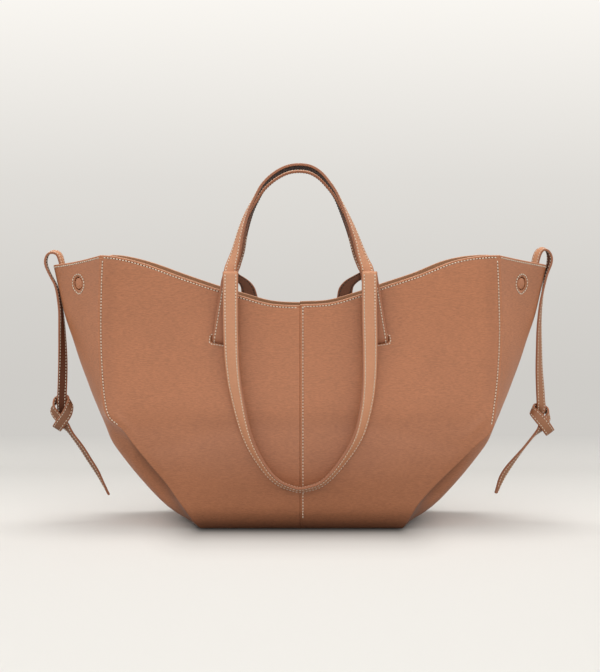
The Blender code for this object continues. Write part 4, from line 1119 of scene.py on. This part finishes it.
def material(name):
    """The bag's materials, each made the first time it is asked for."""
    label = "bag_" + name
    made = bpy.data.materials.get(label)
    if made:
        return made
    paint, grain = colours(), sizes().grain
    # Colour, share of it in the grain's depths, pebble, mottle, roughness, bump, specular, streaks, whether
    # it takes painted shade
    leathers = {
        "body_leather": (paint.body, 0.62, grain, 0.30, 0.42, 0.30, 0.50, 0.42, True),
        "strap_leather": (paint.strap, 0.66, grain * 0.9, 0.26, 0.42, 0.26, 0.42, 0.10, False),
        "strap_back": (paint.strap_back, 0.60, grain, 0.30, 0.55, 0.26, 0.30, 0.10, True),
        "tie_leather": (paint.strap, 0.66, grain, 0.26, 0.42, 0.26, 0.30, 0.10, True),
        "tie_back": (paint.tie_back, 0.60, grain, 0.30, 0.60, 0.26, 0.20, 0.10, False),
    }
    if name in leathers:
        return leather_material(label, *leathers[name])
    # Colour, share of it in the second colour, noise scale, roughness, bump, its depth, specular, stretch
    finishes = {
        "flesh_side": (paint.inside, 0.7, 420.0, 0.86, 0.5, 0.0003, 0.15),
        "edge_paint": (paint.edge, 0.8, 300.0, 0.40, 0.15, 0.0001),
        "lit_rim_paint": (paint.rim, 0.85, 300.0, 0.45, 0.15, 0.0001),
        "thread": (paint.thread, 0.72, 2400.0, 0.70, 0.5, 0.0001, 0.2),
        "shaded_thread": (dimmed(paint.thread, 0.08), 0.625, 2400.0, 0.80, 0.5, 0.0001, 0.1),
        "needle_hole": (paint.needle_hole, 0.6, 2400.0, 0.85, 0.3, 0.0001, 0.1),
        "tape": (paint.tape, 0.6, 900.0, 0.88, 0.6, 0.0002, 0.15, (1.0, 1.0, 3.0)),
        "board": (paint.board, 1.6, 650.0, 0.75, 0.4, 0.0001, 0.25),
    }
    if name in finishes:
        colour, share, *rest = finishes[name]
        return noise_material(label, colour, dimmed(colour, share), *rest)
    return noise_material(label, (0.62, 0.61, 0.58), (0.50, 0.50, 0.50), 60.0, 0.28, 0.1, 0.00005,
                          stretch=(1.0, 1.0, 20.0), metallic=1.0)


def repaint(name, finish):
    """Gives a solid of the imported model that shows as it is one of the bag's finishes."""
    for slot in bpy.data.objects[name].material_slots:
        slot.material = material(finish)


# Pieces
# Distances from a border of the leather at which its rows of points lie
BORDER = (0.0, 0.00012, 0.00032, 0.0006, 0.0010, 0.0016, 0.0021, 0.0026, 0.0031, 0.0036, 0.0042)
PAINTED_ROWS = 3
GROOVE_DEPTH = 0.00035
GROOVE_REACH = 0.00060
# Rough lengths of the pieces along the wall, and the panels that carry the centre seams' stitches
WING_LENGTH = 0.16
PANEL_LENGTH = 0.205
CENTRE_SEWN = ("front_right", "back_left")
WALL_PIECES = {
    "front_right": (0.0, 1.0, 64), "right_wing": (1.0, 3.0, 96), "back_right": (3.0, 4.0, 64),
    "back_left": (4.0, 5.0, 64), "left_wing": (5.0, 7.0, 96), "front_left": (7.0, 8.0, 64),
}
CAD_WALLS = {
    "front_right": "front_right_panel", "right_wing": "right_gusset", "back_right": "back_right_panel",
    "back_left": "back_left_panel", "left_wing": "left_gusset", "front_left": "front_left_panel",
}


def border_shares(count, length):
    """Shares from 0 to 1, close together at both borders of a piece of the given length."""
    near = [d / length for d in BORDER]
    middle = list(np.linspace(near[-1] * 1.8, 1.0 - near[-1] * 1.8, count))
    return np.array(near + middle + [1.0 - s for s in reversed(near)])


def wall_heights(u_row):
    """Heights of the wall's rows: round the foot, then by share up to the mouth's edge."""
    foot = [FOOT_HEIGHT * (1.0 - math.sin(math.pi / 2.0 * (1.0 - k / 9.0))) + 0.0002 for k in range(10)]
    low = list(np.linspace(0.0155, 0.034, 8))
    top, start = rim(u_row), low[-1]
    rows = [np.full(u_row.shape, h) for h in foot + low]
    rows += [start + share * (top - 0.0050 - start) for share in np.linspace(0.0, 1.0, 74)[1:-1]]
    return np.array(rows + [top - d for d in reversed(BORDER)])


def edge_inset(distance):
    """How far a rounded edge lies under the sheet's face at a distance from the edge."""
    radius = WALL_THICKNESS / 2.0
    return radius - np.sqrt(np.maximum(radius**2 - np.maximum(radius - distance, 0.0)**2, 0.0))


def groove(distance, inset):
    """How deep the thread has drawn the leather in at a distance from a row of stitches."""
    return GROOVE_DEPTH * np.exp(-((distance - inset) / GROOVE_REACH)**2)


def build_wall_piece(label):
    """One piece of the wall: grain side out, flesh side in, painted edge at the mouth."""
    start, end, count = WALL_PIECES[label]
    wing = label.endswith("wing")
    length = WING_LENGTH if wing else PANEL_LENGTH
    shares = border_shares(count, length)
    inner_u = np.clip(start + (end - start) * shares, start + 1e-7, end - 1e-7)
    heights = wall_heights(inner_u)
    rows, columns = heights.shape
    u = np.tile(inner_u, (rows, 1))
    points, normal = wall(u, heights, (start + end) / 2.0 % 4.0)
    across = np.tile(np.minimum(shares, 1.0 - shares) * length, (rows, 1))
    below_mouth = rim(u) - heights
    seam = edge_inset(across) * fade(heights, SEAM_END_HEIGHT - 0.007, SEAM_END_HEIGHT + 0.001)
    drawn = groove(below_mouth, sizes().rim_inset)
    if not wing:
        centre_side = np.tile(shares < 0.5 if start in (0.0, 4.0) else shares > 0.5, (rows, 1))
        seam = np.where(centre_side, edge_inset(across), seam)
        sewn = groove(across, sizes().seam_inset)
        sewn = sewn * fade(heights, SEAM_END_HEIGHT - 0.003, SEAM_END_HEIGHT + 0.001)
        middle_seam = groove(across, CENTRE_SEAM_INSET) * float(label in CENTRE_SEWN)
        drawn = np.maximum(drawn, np.where(centre_side, middle_seam, sewn))
    inset = np.maximum(seam, edge_inset(below_mouth))
    outer = points - normal * (inset + drawn)[..., None]
    inner = points - normal * (WALL_THICKNESS - inset)[..., None]
    vertices = np.concatenate([outer.reshape(-1, 3), inner.reshape(-1, 3)])
    shift = rows * columns
    faces, indices = [], []
    for j in range(rows - 1):
        for i in range(columns - 1):
            a = j * columns + i
            faces.append((a, a + 1, a + columns + 1, a + columns))
            faces.append((a + shift, a + shift + columns, a + shift + columns + 1, a + shift + 1))
            indices += [2, 2] if j >= rows - 1 - PAINTED_ROWS else [0, 1]
    border = list(range(columns)) + [j * columns + columns - 1 for j in range(1, rows)]
    border += [(rows - 1) * columns + i for i in range(columns - 2, -1, -1)]
    border += [j * columns for j in range(rows - 2, 0, -1)]
    for a, b in zip(border, border[1:] + border[:1]):
        faces.append((a, a + shift, b + shift, b))
        indices.append(0)
    # The mouth's painted edge is made lighter with a painted highlight from the light above.
    materials = [material("body_leather"), material("flesh_side"), material("lit_rim_paint")]
    piece = add_piece(label + "_leather", vertices, faces, materials, "bag", indices)
    clean(piece)
    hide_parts(CAD_WALLS[label])
    return piece


def cut_slots(panels):
    """The slots that the straps come out of."""
    tall = LAYER_STEP + 2.0 * INNER_LAYER
    outline = rounded_rectangle(STRAP_WIDTH + 2.0 * SLOT_SIDE_CLEARANCE, tall, 0.0022)
    for face_name, facing in FACES.items():
        for side_name, side in SIDES.items():
            place, upward, across, outward = slot_frame(side, facing)
            vertices, faces = prism(outline, -0.006, 0.004, place, across, upward, outward)
            cut(panels[face_name + "_" + side_name], vertices, faces, "slot_cutter")


def magnet_frame(side, facing):
    """Where a magnet sits in its wing: place, across, upward and outward."""
    place, outward, rise = band_frame(place_along(side, facing, 1.0 + MAGNET_AROUND_SHARE), MAGNET_HEIGHT)
    across = unit(np.cross(rise, outward))
    return place, across, unit(np.cross(outward, across)), outward


def cut_windows(panels):
    """The round windows over the magnets."""
    for side_name, side in SIDES.items():
        for facing in FACES.values():
            vertices, faces = prism(circle(WINDOW_RADIUS, 48), -0.0035, 0.003, *magnet_frame(side, facing))
            cut(panels[side_name + "_wing"], vertices, faces, "window_cutter")


class BAG_OT_leather_wall(bpy.types.Operator):
    """Builds the four panels and two wings, with their slots and windows"""

    bl_idname = "bag.leather_wall"
    bl_label = "Panels and Wings"

    def execute(self, context):
        panels = {label: build_wall_piece(label) for label in WALL_PIECES}
        cut_slots(panels)
        cut_windows(panels)
        for piece in panels.values():
            # Painted shade that the body leather darkens by
            write_shade(piece, wall_shade)
        return {"FINISHED"}


def foot_outline(inset):
    """The foot of the wall from below, drawn in by an inset."""
    u = np.linspace(0.0, 8.0, 161)[:-1]
    outline = foot_tuck(band(u, 0.0004))[:, :2]
    return outline + outline_inward(outline) * inset


class BAG_OT_base(bpy.types.Operator):
    """Builds the leather base and its stitches, and finishes the board on it"""

    bl_idname = "bag.base"
    bl_label = "Base"

    def execute(self, context):
        across, upward, outward = np.eye(3)
        base = plate("base_leather", foot_outline(0.0004), edge_profile(0.0018, 0.0008, inset=0.012),
                     np.zeros(3), across, upward, outward, [material("body_leather")], "bag", "body_leather")
        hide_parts("base_panel")
        line = placed(closed(foot_outline(0.0032)), outward * 0.0003, across, upward)
        stitches("base_stitches", "bag", [line_row(line, -outward)], radius=0.00022)
        repaint("base_board", "board")
        return {"FINISHED"}


def upright_row(centre, seam, inset, low, high, count):
    """A row of stitches up a piece of the wall, at a distance from one of its seams."""
    heights = np.linspace(low, high, count)
    side, _, _ = fold_back(centre)
    shift = np.sign(centre - seam) * inset / seam_half_width(side, heights)
    return wall_row(seam + shift, heights, centre % 4.0)


class BAG_OT_wall_stitches(bpy.types.Operator):
    """Sews the mouth's edge, the side seams, the centre seams and the slots"""

    bl_idname = "bag.wall_stitches"
    bl_label = "Wall Stitches"

    def execute(self, context):
        rim_rows, seam_rows, centre_rows, tack_rows = [], [], [], []
        for label, (start, end, _) in WALL_PIECES.items():
            centre = (start + end) / 2.0
            wing = label.endswith("wing")
            spans = [(start + 0.012, end - 0.012, 160)]
            if wing:
                spans = [(start + 0.012, centre - 0.02, 90), (centre + 0.02, end - 0.012, 90)]
            for one_span in spans:
                u = np.linspace(*one_span)
                rim_rows.append(wall_row(u, rim(u) - sizes().rim_inset, centre % 4.0, 0.0006))
            if not wing:
                side_seam = end if start in (0.0, 4.0) else start
                seam_rows.append(upright_row(centre, side_seam, sizes().seam_inset, SEAM_END_HEIGHT - 0.001,
                                             SEAM_HEIGHT - 0.0055, 120))
            if label in CENTRE_SEWN:
                centre_rows.append(upright_row(centre, start, CENTRE_SEAM_INSET, 0.012,
                                               RIM_CENTRE_HEIGHT - 0.0140, 160))
                tack_rows.append(upright_row(centre, start, CENTRE_SEAM_INSET, RIM_CENTRE_HEIGHT - 0.0138,
                                             RIM_CENTRE_HEIGHT - 0.0040, 20))
        stitches("rim_stitches", "bag", rim_rows)
        stitches("side_seam_stitches", "bag", seam_rows)
        stitches("centre_seam_stitches", "bag", centre_rows, radius=0.00045)
        stitches("seam_top_stitches", "bag", tack_rows, radius=0.00072)
        ring = closed(rounded_rectangle(STRAP_WIDTH + 0.0052, 0.0102, 0.0030))
        slot_rows = []
        for facing in FACES.values():
            for side in SIDES.values():
                place, upward, across, outward = slot_frame(side, facing)
                slot_rows.append(line_row(placed(ring, place, across, upward), outward, 0.92))
        stitches("slot_stitches", "bag", slot_rows)
        return {"FINISHED"}


def magnet_cap(label, seat):
    """The round leather cap in a magnet's window, on a seat of place, across, upward and outward."""
    radius = WINDOW_RADIUS - CAP_CLEARANCE - 0.0006
    rings = [(0.0030, -WALL_THICKNESS), (0.0, -WALL_THICKNESS), (0.0, -0.0010)]
    rings += [(radius * (1.0 - math.cos(a)) * 0.16, -0.0010 + 0.0008 * math.sin(a))
              for a in np.linspace(0.0, math.pi / 2.0, 5)[1:]]
    rings += [(radius * s, -0.0002 + 0.0005 * (1.0 - (1.0 - s)**2)) for s in (0.3, 0.5, 0.7, 0.88, 0.97)]
    return plate(label + "_cap", circle(radius, 48), rings, *seat,
                 [material("body_leather"), material("edge_paint")], "bag", "strap_leather", edge_rings=(1,))


class BAG_OT_magnets(bpy.types.Operator):
    """Builds the magnet caps, their patches and their rings of stitches"""

    bl_idname = "bag.magnets"
    bl_label = "Magnets"

    def execute(self, context):
        depth = WALL_THICKNESS + MAGNET_THICKNESS + 2.0 * SEWN_GAP + MAGNET_PATCH_THICKNESS
        turns = np.linspace(-math.pi / 2.0, 1.5 * math.pi, 90)
        ring = np.column_stack([0.0098 * np.cos(turns), 0.0098 * np.sin(turns)])
        ring[:, 1] -= 0.0012 * np.exp(-(np.abs(np.abs(turns - math.pi / 2.0) - math.pi) / 0.35)**2)
        ring_rows = []
        for side_name, side in SIDES.items():
            for face_name, facing in FACES.items():
                place, across, upward, outward = magnet_frame(side, facing)
                label = side_name + "_" + face_name
                cap = magnet_cap(label, (place, across, upward, outward))
                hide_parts(label + "_magnet_cap")
                patch = plate(label + "_patch", circle(MAGNET_PATCH_RADIUS, 56),
                              edge_profile(MAGNET_PATCH_THICKNESS, 0.0005), place - outward * depth, across,
                              upward, outward, [material("flesh_side")], "bag", "inner_leather")
                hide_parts(label + "_magnet_patch")
                line = placed(ring, place, across, upward) + outward * 0.0001
                centre, tangent, facing_out = line_row(line, outward)
                ring_rows.append((centre, tangent, facing_out))
                ring_rows.append((centre - outward * depth, tangent, -facing_out))
                repaint(label + "_magnet", "magnet_plate")
        stitches("magnet_stitches", "bag", ring_rows, radius=0.00060)
        return {"FINISHED"}


class BAG_OT_short_handles(bpy.types.Operator):
    """Builds the two short handles, each one strap from slot to slot"""

    bl_idname = "bag.short_handles"
    bl_label = "Short Handles"

    def execute(self, context):
        # How far each leans in above its hinge, how much its feet are pinched, and between which heights
        plans = {"front": (0.0013, 0.15, 0.256, 0.274), "back": (0.0019, 0.25, 0.230, 0.262)}
        for face_name, facing in FACES.items():
            lean, amount, low, high = plans[face_name]
            points, normals = handle_path(facing)
            points, normals = resample(0.0016, points, blur(normals, 4))
            near_hinge = fade(points[:, 2], 0.259, 0.267) * (1.0 - fade(points[:, 2], 0.286, 0.312))
            points[:, 1] -= facing * lean * near_hinge
            bend = fade(points[:, 2], 0.250, 0.262) * (1.0 - fade(points[:, 2], 0.300, 0.330))
            points = points + (blur(points, 14) - points) * bend[:, None]
            normals = unit(blur(unit(normals), 8))
            pinched = fade(points[:, 2], low, low + 0.012) * (1.0 - fade(points[:, 2], high, high + 0.015))
            scales = 1.0 - amount * pinched
            foot = facing * HANDLE_HINGE_DEPTH
            blend = ("bag", face_name + "_handle", (0.0, foot, 0.262), (0.0, foot, 0.282))
            strap = sweep(face_name + "_short_handle", points, normals, STRAP_WIDTH, STRAP_THICKNESS,
                          sizes().strap_inset, blend, scales=scales)
            # Painted shade on the handle's back side: darker above the hinge, darkest under the arch.
            write_shade(strap, lambda places: 0.40 * fade(places[:, 2], 0.262, 0.290)
                        + 0.55 * fade(places[:, 2], 0.306, 0.342))
            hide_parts(face_name + "_handle", face_name + "_left_handle_root",
                        face_name + "_right_handle_root")
            rows = strap_rows(points, normals, STRAP_WIDTH, STRAP_THICKNESS, sizes().strap_inset, scales)
            legs = chosen_rows(rows[2:], lambda places: places[:, 2] < SHADED_THREAD_HEIGHT)
            arch = chosen_rows(rows[2:], lambda places: places[:, 2] >= SHADED_THREAD_HEIGHT)
            stitches(face_name + "_handle_stitches", blend, rows[:2] + legs)
            stitches(face_name + "_handle_lining_stitches", blend, arch, thread="shaded_thread")
        return {"FINISHED"}


class BAG_OT_long_straps(bpy.types.Operator):
    """Builds the two long straps, folded over above the mouth"""

    bl_idname = "bag.long_straps"
    bl_label = "Long Straps"

    def execute(self, context):
        # Each strap's loop, drop, pinch at its fold, painted shade above the mouth and the thread of its
        # lining
        plans = {"front": (FRONT_LOOP_SHARES, LONG_STRAP_DROP, 0.0, 0.0, "thread"),
                 "back": (BACK_LOOP_SHARES, BACK_STRAP_DROP, 0.50, 0.62, "shaded_thread")}
        for face_name, facing in FACES.items():
            loop, drop, pinch, depth, lining_thread = plans[face_name]
            points, normals = long_strap_path(facing, loop, drop)
            normals = unit(blur(normals, 2))
            scales = 1.0 - pinch * (1.0 - fade(FOLD_HEIGHT - points[:, 2], 0.005, 0.022))
            blend = ("bag", face_name + "_long_strap", (0.0, facing * (FOLD_DEPTH - 0.0001), FOLD_HEIGHT),
                     (0.0, facing * (FOLD_DEPTH + 0.0001), FOLD_HEIGHT))
            strap = sweep(face_name + "_shoulder_strap", points, normals, STRAP_WIDTH, STRAP_THICKNESS,
                          sizes().strap_inset, blend, scales=scales)
            # Painted shade on the back side of the strap, where it turns over above the mouth.
            write_shade(strap, lambda places: depth * fade(places[:, 2], 0.215, 0.240))
            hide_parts(face_name + "_long_strap", face_name + "_left_strap_root",
                        face_name + "_right_strap_root")

            def fixed(places):
                return (places[:, 2] < FOLD_HEIGHT) & (places[:, 1] * facing < FOLD_DEPTH)

            def hanging(places):
                return (places[:, 2] < FOLD_HEIGHT) & (places[:, 1] * facing > FOLD_DEPTH)

            rows = strap_rows(points, normals, STRAP_WIDTH, STRAP_THICKNESS, sizes().strap_inset, scales)
            moving = face_name + "_long_strap"
            stitches(face_name + "_strap_root_stitches", "bag", chosen_rows(rows, fixed))
            stitches(face_name + "_strap_stitches", moving, chosen_rows(rows[:2], hanging))
            stitches(face_name + "_strap_lining_stitches", moving, chosen_rows(rows[2:], hanging),
                     thread=lining_thread)
        return {"FINISHED"}


def tie_tab(side_name):
    """The leather wedge that holds a tie in the fold of its wing, with rounded edges."""
    tab = put_in_scene(side_name + "_tie_tab", bpy.data.objects[side_name + "_tie_anchor"].data.copy())
    clean(tab)
    rounded = tab.modifiers.new("soft_edges", "BEVEL")
    rounded.width = 0.0006
    rounded.segments = 3
    apply_modifiers(tab)
    tab.data.materials.clear()
    tab.data.materials.append(material("flesh_side"))
    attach(tab, "bag")
    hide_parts(side_name + "_tie_anchor")


class BAG_OT_side_ties(bpy.types.Operator):
    """Builds the two side ties with their knots and tails"""

    bl_idname = "bag.side_ties"
    bl_label = "Side Ties"

    def execute(self, context):
        joints = {joint["name"]: joint for joint in frame["record"]["behaviour"]["joints"]}
        # The strap's direction at its hinge, two distances from the hinge along it, and its painted shade
        # lower down
        plans = {"left": ((-0.958, 0.0, -0.287), 0.00115, 0.0059, 0.62),
                 "right": ((0.970, 0.0, -0.2425), 0.0041, 0.0083, 0.40)}
        materials = [material("tie_leather"), material("edge_paint"), material("tie_back")]
        for side_name, side in SIDES.items():
            points, normals, scales = tie_path(side)
            points, normals, scales = resample(0.0010, points, normals, scales[:, None])
            normals, scales = unit(normals), scales[:, 0]
            direction, near, far, depth = plans[side_name]
            pivot = np.array(joints[side_name + "_tie_swing"]["pos_m"], float)
            direction = np.array(direction)
            start, end = tuple(pivot + direction * near), tuple(pivot + direction * far)
            blend = ("bag", side_name + "_tie", start, end)
            tie = sweep(side_name + "_tie_strap", points, normals, TIE_WIDTH, TIE_THICKNESS, TIE_INSET, blend,
                        scales=scales, materials=materials)
            # Painted shade: the tie darkens below its loop, over the knot and the tail.
            write_shade(tie, lambda places: depth * (1.0 - fade(places[:, 2], 0.235, 0.270)))
            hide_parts(side_name + "_tie_root", side_name + "_tie_drop", side_name + "_tie_knot",
                        side_name + "_tie_tail")
            rows = strap_rows(points, normals, TIE_WIDTH, TIE_THICKNESS, TIE_INSET, scales, margin=0.006)
            stitches(side_name + "_tie_stitches", blend, rows, radius=0.00036)
            tie_tab(side_name)
        return {"FINISHED"}


class BAG_OT_inner_trim(bpy.types.Operator):
    """Builds the patches over the strap tails and the tapes behind the centre seams"""

    bl_idname = "bag.inner_trim"
    bl_label = "Patches and Tapes"

    def execute(self, context):
        depth = WALL_THICKNESS + OUTER_LAYER + INNER_LAYER + PATCH_THICKNESS
        drop = LAYER_STEP / 2.0 + INNER_LAYER + STRAP_TAIL / 2.0
        ring = closed(rounded_rectangle(PATCH_WIDTH - 0.0046, PATCH_HEIGHT - 0.0046, 0.0026))
        rows = []
        for face_name, facing in FACES.items():
            for side_name, side in SIDES.items():
                label = face_name + "_" + side_name
                place, upward, across, outward = slot_frame(side, facing)
                back = place - outward * depth - upward * drop
                patch = plate(label + "_patch", rounded_rectangle(PATCH_WIDTH, PATCH_HEIGHT, 0.004),
                              edge_profile(PATCH_THICKNESS, 0.0006), back, across, upward, outward,
                              [material("body_leather"), material("edge_paint")], "bag", "inner_leather",
                              edge_rings=(4, 5, 6))
                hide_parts(label + "_anchor_patch")
                rows.append(line_row(placed(ring, back, across, upward), -outward))
        stitches("patch_stitches", "bag", rows)
        heights = np.linspace(BOTTOM + BOARD_THICKNESS + TAPE_END_MARGIN,
                              RIM_CENTRE_HEIGHT - TAPE_END_MARGIN, 90)
        for face_name, facing in FACES.items():
            points = band((0.0 if facing < 0.0 else 4.0) + 1e-6, heights)
            normals = np.tile([0.0, facing, 0.0], (len(heights), 1))
            _, _, face = path_frames(points, normals)
            points = points - face * (WALL_THICKNESS + SEWN_GAP + TAPE_THICKNESS / 2.0)
            tape = sweep(face_name + "_woven_tape", points, normals, TAPE_WIDTH, TAPE_THICKNESS, 0.0020,
                         "bag", round_ends=False, materials=[material("tape")] * 3)
            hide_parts(face_name + "_seam_tape")
        return {"FINISHED"}


# Studio
# Share of the way up the backdrop or forward on the floor, and the grey there: painted shade over the sweep
BACKDROP_GREYS = ((0.00, 0.620), (0.16, 0.625), (0.33, 0.660), (0.59, 0.745), (0.85, 0.885), (1.00, 0.965))
FLOOR_GREYS = ((0.00, 0.655), (0.10, 0.715), (0.25, 0.79), (0.36, 0.845), (0.50, 0.725), (1.00, 0.693))
# Painted contact shadow: share of the reach from the bag's foot, and the grey there
CONTACT_SHADOW_GREYS = ((0.00, 0.05), (0.08, 0.18), (0.16, 0.44), (0.24, 0.60), (0.36, 0.72), (0.50, 0.83),
                 (0.75, 0.95), (1.00, 1.00))
CONTACT_SHADOW_REACH = 0.20
PAPER_TINT = (1.0, 0.972, 0.925)
FLOOR_TINT = (1.0, 0.985, 0.945)
BOUNCE_GREY = 0.35
BLACK = (0.0, 0.0, 0.0, 1.0)


def soft_light(name, place, size, power):
    """A wide soft light that faces the bag."""
    data = bpy.data.lights.new(name, "AREA")
    data.shape = "RECTANGLE"
    data.size, data.size_y = size
    data.energy = power
    data.color = (1.0, 0.985, 0.965)
    light = put_in_scene(name, data)
    light.location = place
    light.rotation_euler = (Vector((0.0, 0.0, 0.15)) - light.location).to_track_quat("-Z", "Y").to_euler()
    light.visible_camera = False


def light_all_around(scene):
    """The world's light: brighter above and at the flanks."""
    world = bpy.data.worlds.new("studio")
    scene.world = world
    world.use_nodes = True
    tree = world.node_tree
    place = node(tree, "ShaderNodeTexCoord").outputs["Generated"]
    split = node(tree, "ShaderNodeSeparateXYZ", Vector=place).outputs
    flanks = maths(tree, "MULTIPLY_ADD", maths(tree, "MULTIPLY", split[0], split[0]), 0.85, 0.45)
    level = maths(tree, "MULTIPLY", span(tree, split[2], -0.2, 1.0, bottom=0.80), flanks)
    fill(tree, tree.nodes["Background"], Color=mix(tree, level, BLACK, (1.0, 0.985, 0.97, 1.0)),
         Strength=scene.studio_light.fill)


class BAG_OT_studio(bpy.types.Operator):
    """Makes the sweep, the lights and the camera of the photograph"""

    bl_idname = "bag.studio"
    bl_label = "Studio"

    def execute(self, context):
        scene = context.scene
        build_sweep()
        soft_light("top_light", (0.0, 0.50, 1.90), (1.1, 0.80), scene.studio_light.top_power)
        soft_light("front_light", (0.0, -2.30, 1.05), (2.8, 1.2), scene.studio_light.front_power)
        light_all_around(scene)
        camera_data = bpy.data.cameras.new("photograph_view")
        camera_data.lens = 95.0
        camera_data.sensor_width = 36.0
        camera = put_in_scene("photograph_view", camera_data)
        camera.location = (0.0, -1.9, 0.291)
        camera.rotation_euler = (math.radians(90.0 - 2.8), 0.0, 0.0)
        scene.camera = camera
        scene.view_settings.view_transform = "Standard"
        return {"FINISHED"}


def build_sweep():
    """A floor that curves up into a backdrop, pale, and darker where it turns with painted shade."""
    radius, back, width = 0.20, 0.42, 3.0
    line = [(-2.6, 0.0), (-1.2, 0.0), (-0.4, 0.0), (0.1, 0.0), (back, 0.0)]
    for k in range(1, 17):
        angle = math.pi / 2.0 * k / 16
        line.append((back + radius * math.sin(angle), radius - radius * math.cos(angle)))
    line += [(back + radius, z) for z in (0.4, 0.8, 1.6, 2.6)]
    vertices = [(x, y, z) for y, z in line for x in (-width, width)]
    faces = [(2 * k, 2 * k + 1, 2 * k + 3, 2 * k + 2) for k in range(len(line) - 1)]
    mesh = bpy.data.meshes.new("sweep")
    mesh.from_pydata(vertices, [], faces)
    mesh.polygons.foreach_set("use_smooth", np.full(len(mesh.polygons), True))
    mesh.materials.append(sweep_material())
    sweep_piece = put_in_scene("sweep", mesh)


def grey_ramp(tree, value, greys, tints=PAPER_TINT):
    ramp = node(tree, "ShaderNodeValToRGB", _0=value)
    elements = ramp.color_ramp.elements
    while len(elements) < len(greys):
        elements.new(0.5)
    for element, (place, grey) in zip(elements, greys):
        element.position = place
        element.color = opaque([grey * tint for tint in tints])
    return ramp.outputs[0]


def sweep_material():
    """Paper that the camera sees pale, with a painted contact shadow around the bag's foot, and that throws
    little light up at the bag.
    """
    made, tree, shader = plain_material("studio_sweep")
    place = node(tree, "ShaderNodeTexCoord").outputs["Object"]
    split = node(tree, "ShaderNodeSeparateXYZ", Vector=place).outputs
    backdrop = grey_ramp(tree, span(tree, split[2], 0.0, 0.66), BACKDROP_GREYS)
    floor = grey_ramp(tree, span(tree, split[1], 0.45, -0.80), FLOOR_GREYS, FLOOR_TINT)
    # Painted contact shadow around the bag's foot, falling off faster to the sides
    away = []
    for axis, half, stretch in ((0, 0.100, 3.0), (1, 0.056, 1.0)):
        past = maths(tree, "SUBTRACT", maths(tree, "ABSOLUTE", split[axis]), half)
        away.append(maths(tree, "MULTIPLY", maths(tree, "MAXIMUM", past, 0.0), stretch / CONTACT_SHADOW_REACH))
    gathered = node(tree, "ShaderNodeCombineXYZ", _0=away[0], _1=away[1]).outputs[0]
    reach = node(tree, "ShaderNodeVectorMath", {"operation": "LENGTH"}, _0=gathered).outputs["Value"]
    contact_shadow = grey_ramp(tree, reach, CONTACT_SHADOW_GREYS, (1.0, 1.0, 1.0))
    upright = span(tree, split[2], 0.0, 0.035)
    paper = mix(tree, upright, mix(tree, 1.0, floor, contact_shadow, "MULTIPLY"), BLACK)
    glow = mix(tree, upright, BLACK, backdrop)
    rays = node(tree, "ShaderNodeLightPath").outputs
    looked_at = maths(tree, "MAXIMUM", rays["Is Camera Ray"], rays["Is Glossy Ray"])
    looked_at = maths(tree, "MAXIMUM", looked_at, rays["Is Transmission Ray"])
    behind = node(tree, "ShaderNodeNewGeometry").outputs["Backfacing"]
    fill(tree, shader, Base_Color=mix(tree, looked_at, opaque([BOUNCE_GREY] * 3), paper),
         Emission_Color=mix(tree, looked_at, BLACK, glow), Alpha=maths(tree, "SUBTRACT", 1.0, behind),
         Emission_Strength=1.0, Roughness=0.9, Specular_IOR_Level=0.0)
    return made


OPERATORS = (BAG_OT_leather_wall, BAG_OT_base, BAG_OT_wall_stitches, BAG_OT_magnets, BAG_OT_short_handles,
             BAG_OT_long_straps, BAG_OT_side_ties, BAG_OT_inner_trim, BAG_OT_studio)


class BAG_PT_tote(bpy.types.Panel):
    """Lists the bag's pieces, sizes and colours"""

    bl_label = "Tote Bag"
    bl_space_type = "VIEW_3D"
    bl_region_type = "UI"
    bl_category = "Tote Bag"

    def draw(self, context):
        layout = self.layout
        for group in (context.scene.bag_sizes, context.scene.bag_colours, context.scene.studio_light):
            box = layout.box()
            for name in group.__annotations__:
                box.prop(group, name)
        for operator in OPERATORS:
            layout.operator(operator.bl_idname)


CLASSES = (BagSizes, BagColours, StudioLight) + OPERATORS + (BAG_PT_tote,)


def register():
    for cls in CLASSES:
        bpy.utils.register_class(cls)
    bpy.types.Scene.bag_sizes = PointerProperty(type=BagSizes)
    bpy.types.Scene.bag_colours = PointerProperty(type=BagColours)
    bpy.types.Scene.studio_light = PointerProperty(type=StudioLight)


def unregister():
    del bpy.types.Scene.bag_sizes
    del bpy.types.Scene.bag_colours
    del bpy.types.Scene.studio_light
    for cls in reversed(CLASSES):
        bpy.utils.unregister_class(cls)


def main():
    register()
    bpy.ops.bag.leather_wall()
    bpy.ops.bag.base()
    bpy.ops.bag.wall_stitches()
    bpy.ops.bag.magnets()
    bpy.ops.bag.short_handles()
    bpy.ops.bag.long_straps()
    bpy.ops.bag.side_ties()
    bpy.ops.bag.inner_trim()
    bpy.ops.bag.studio()


if __name__ == "__main__":
    main()
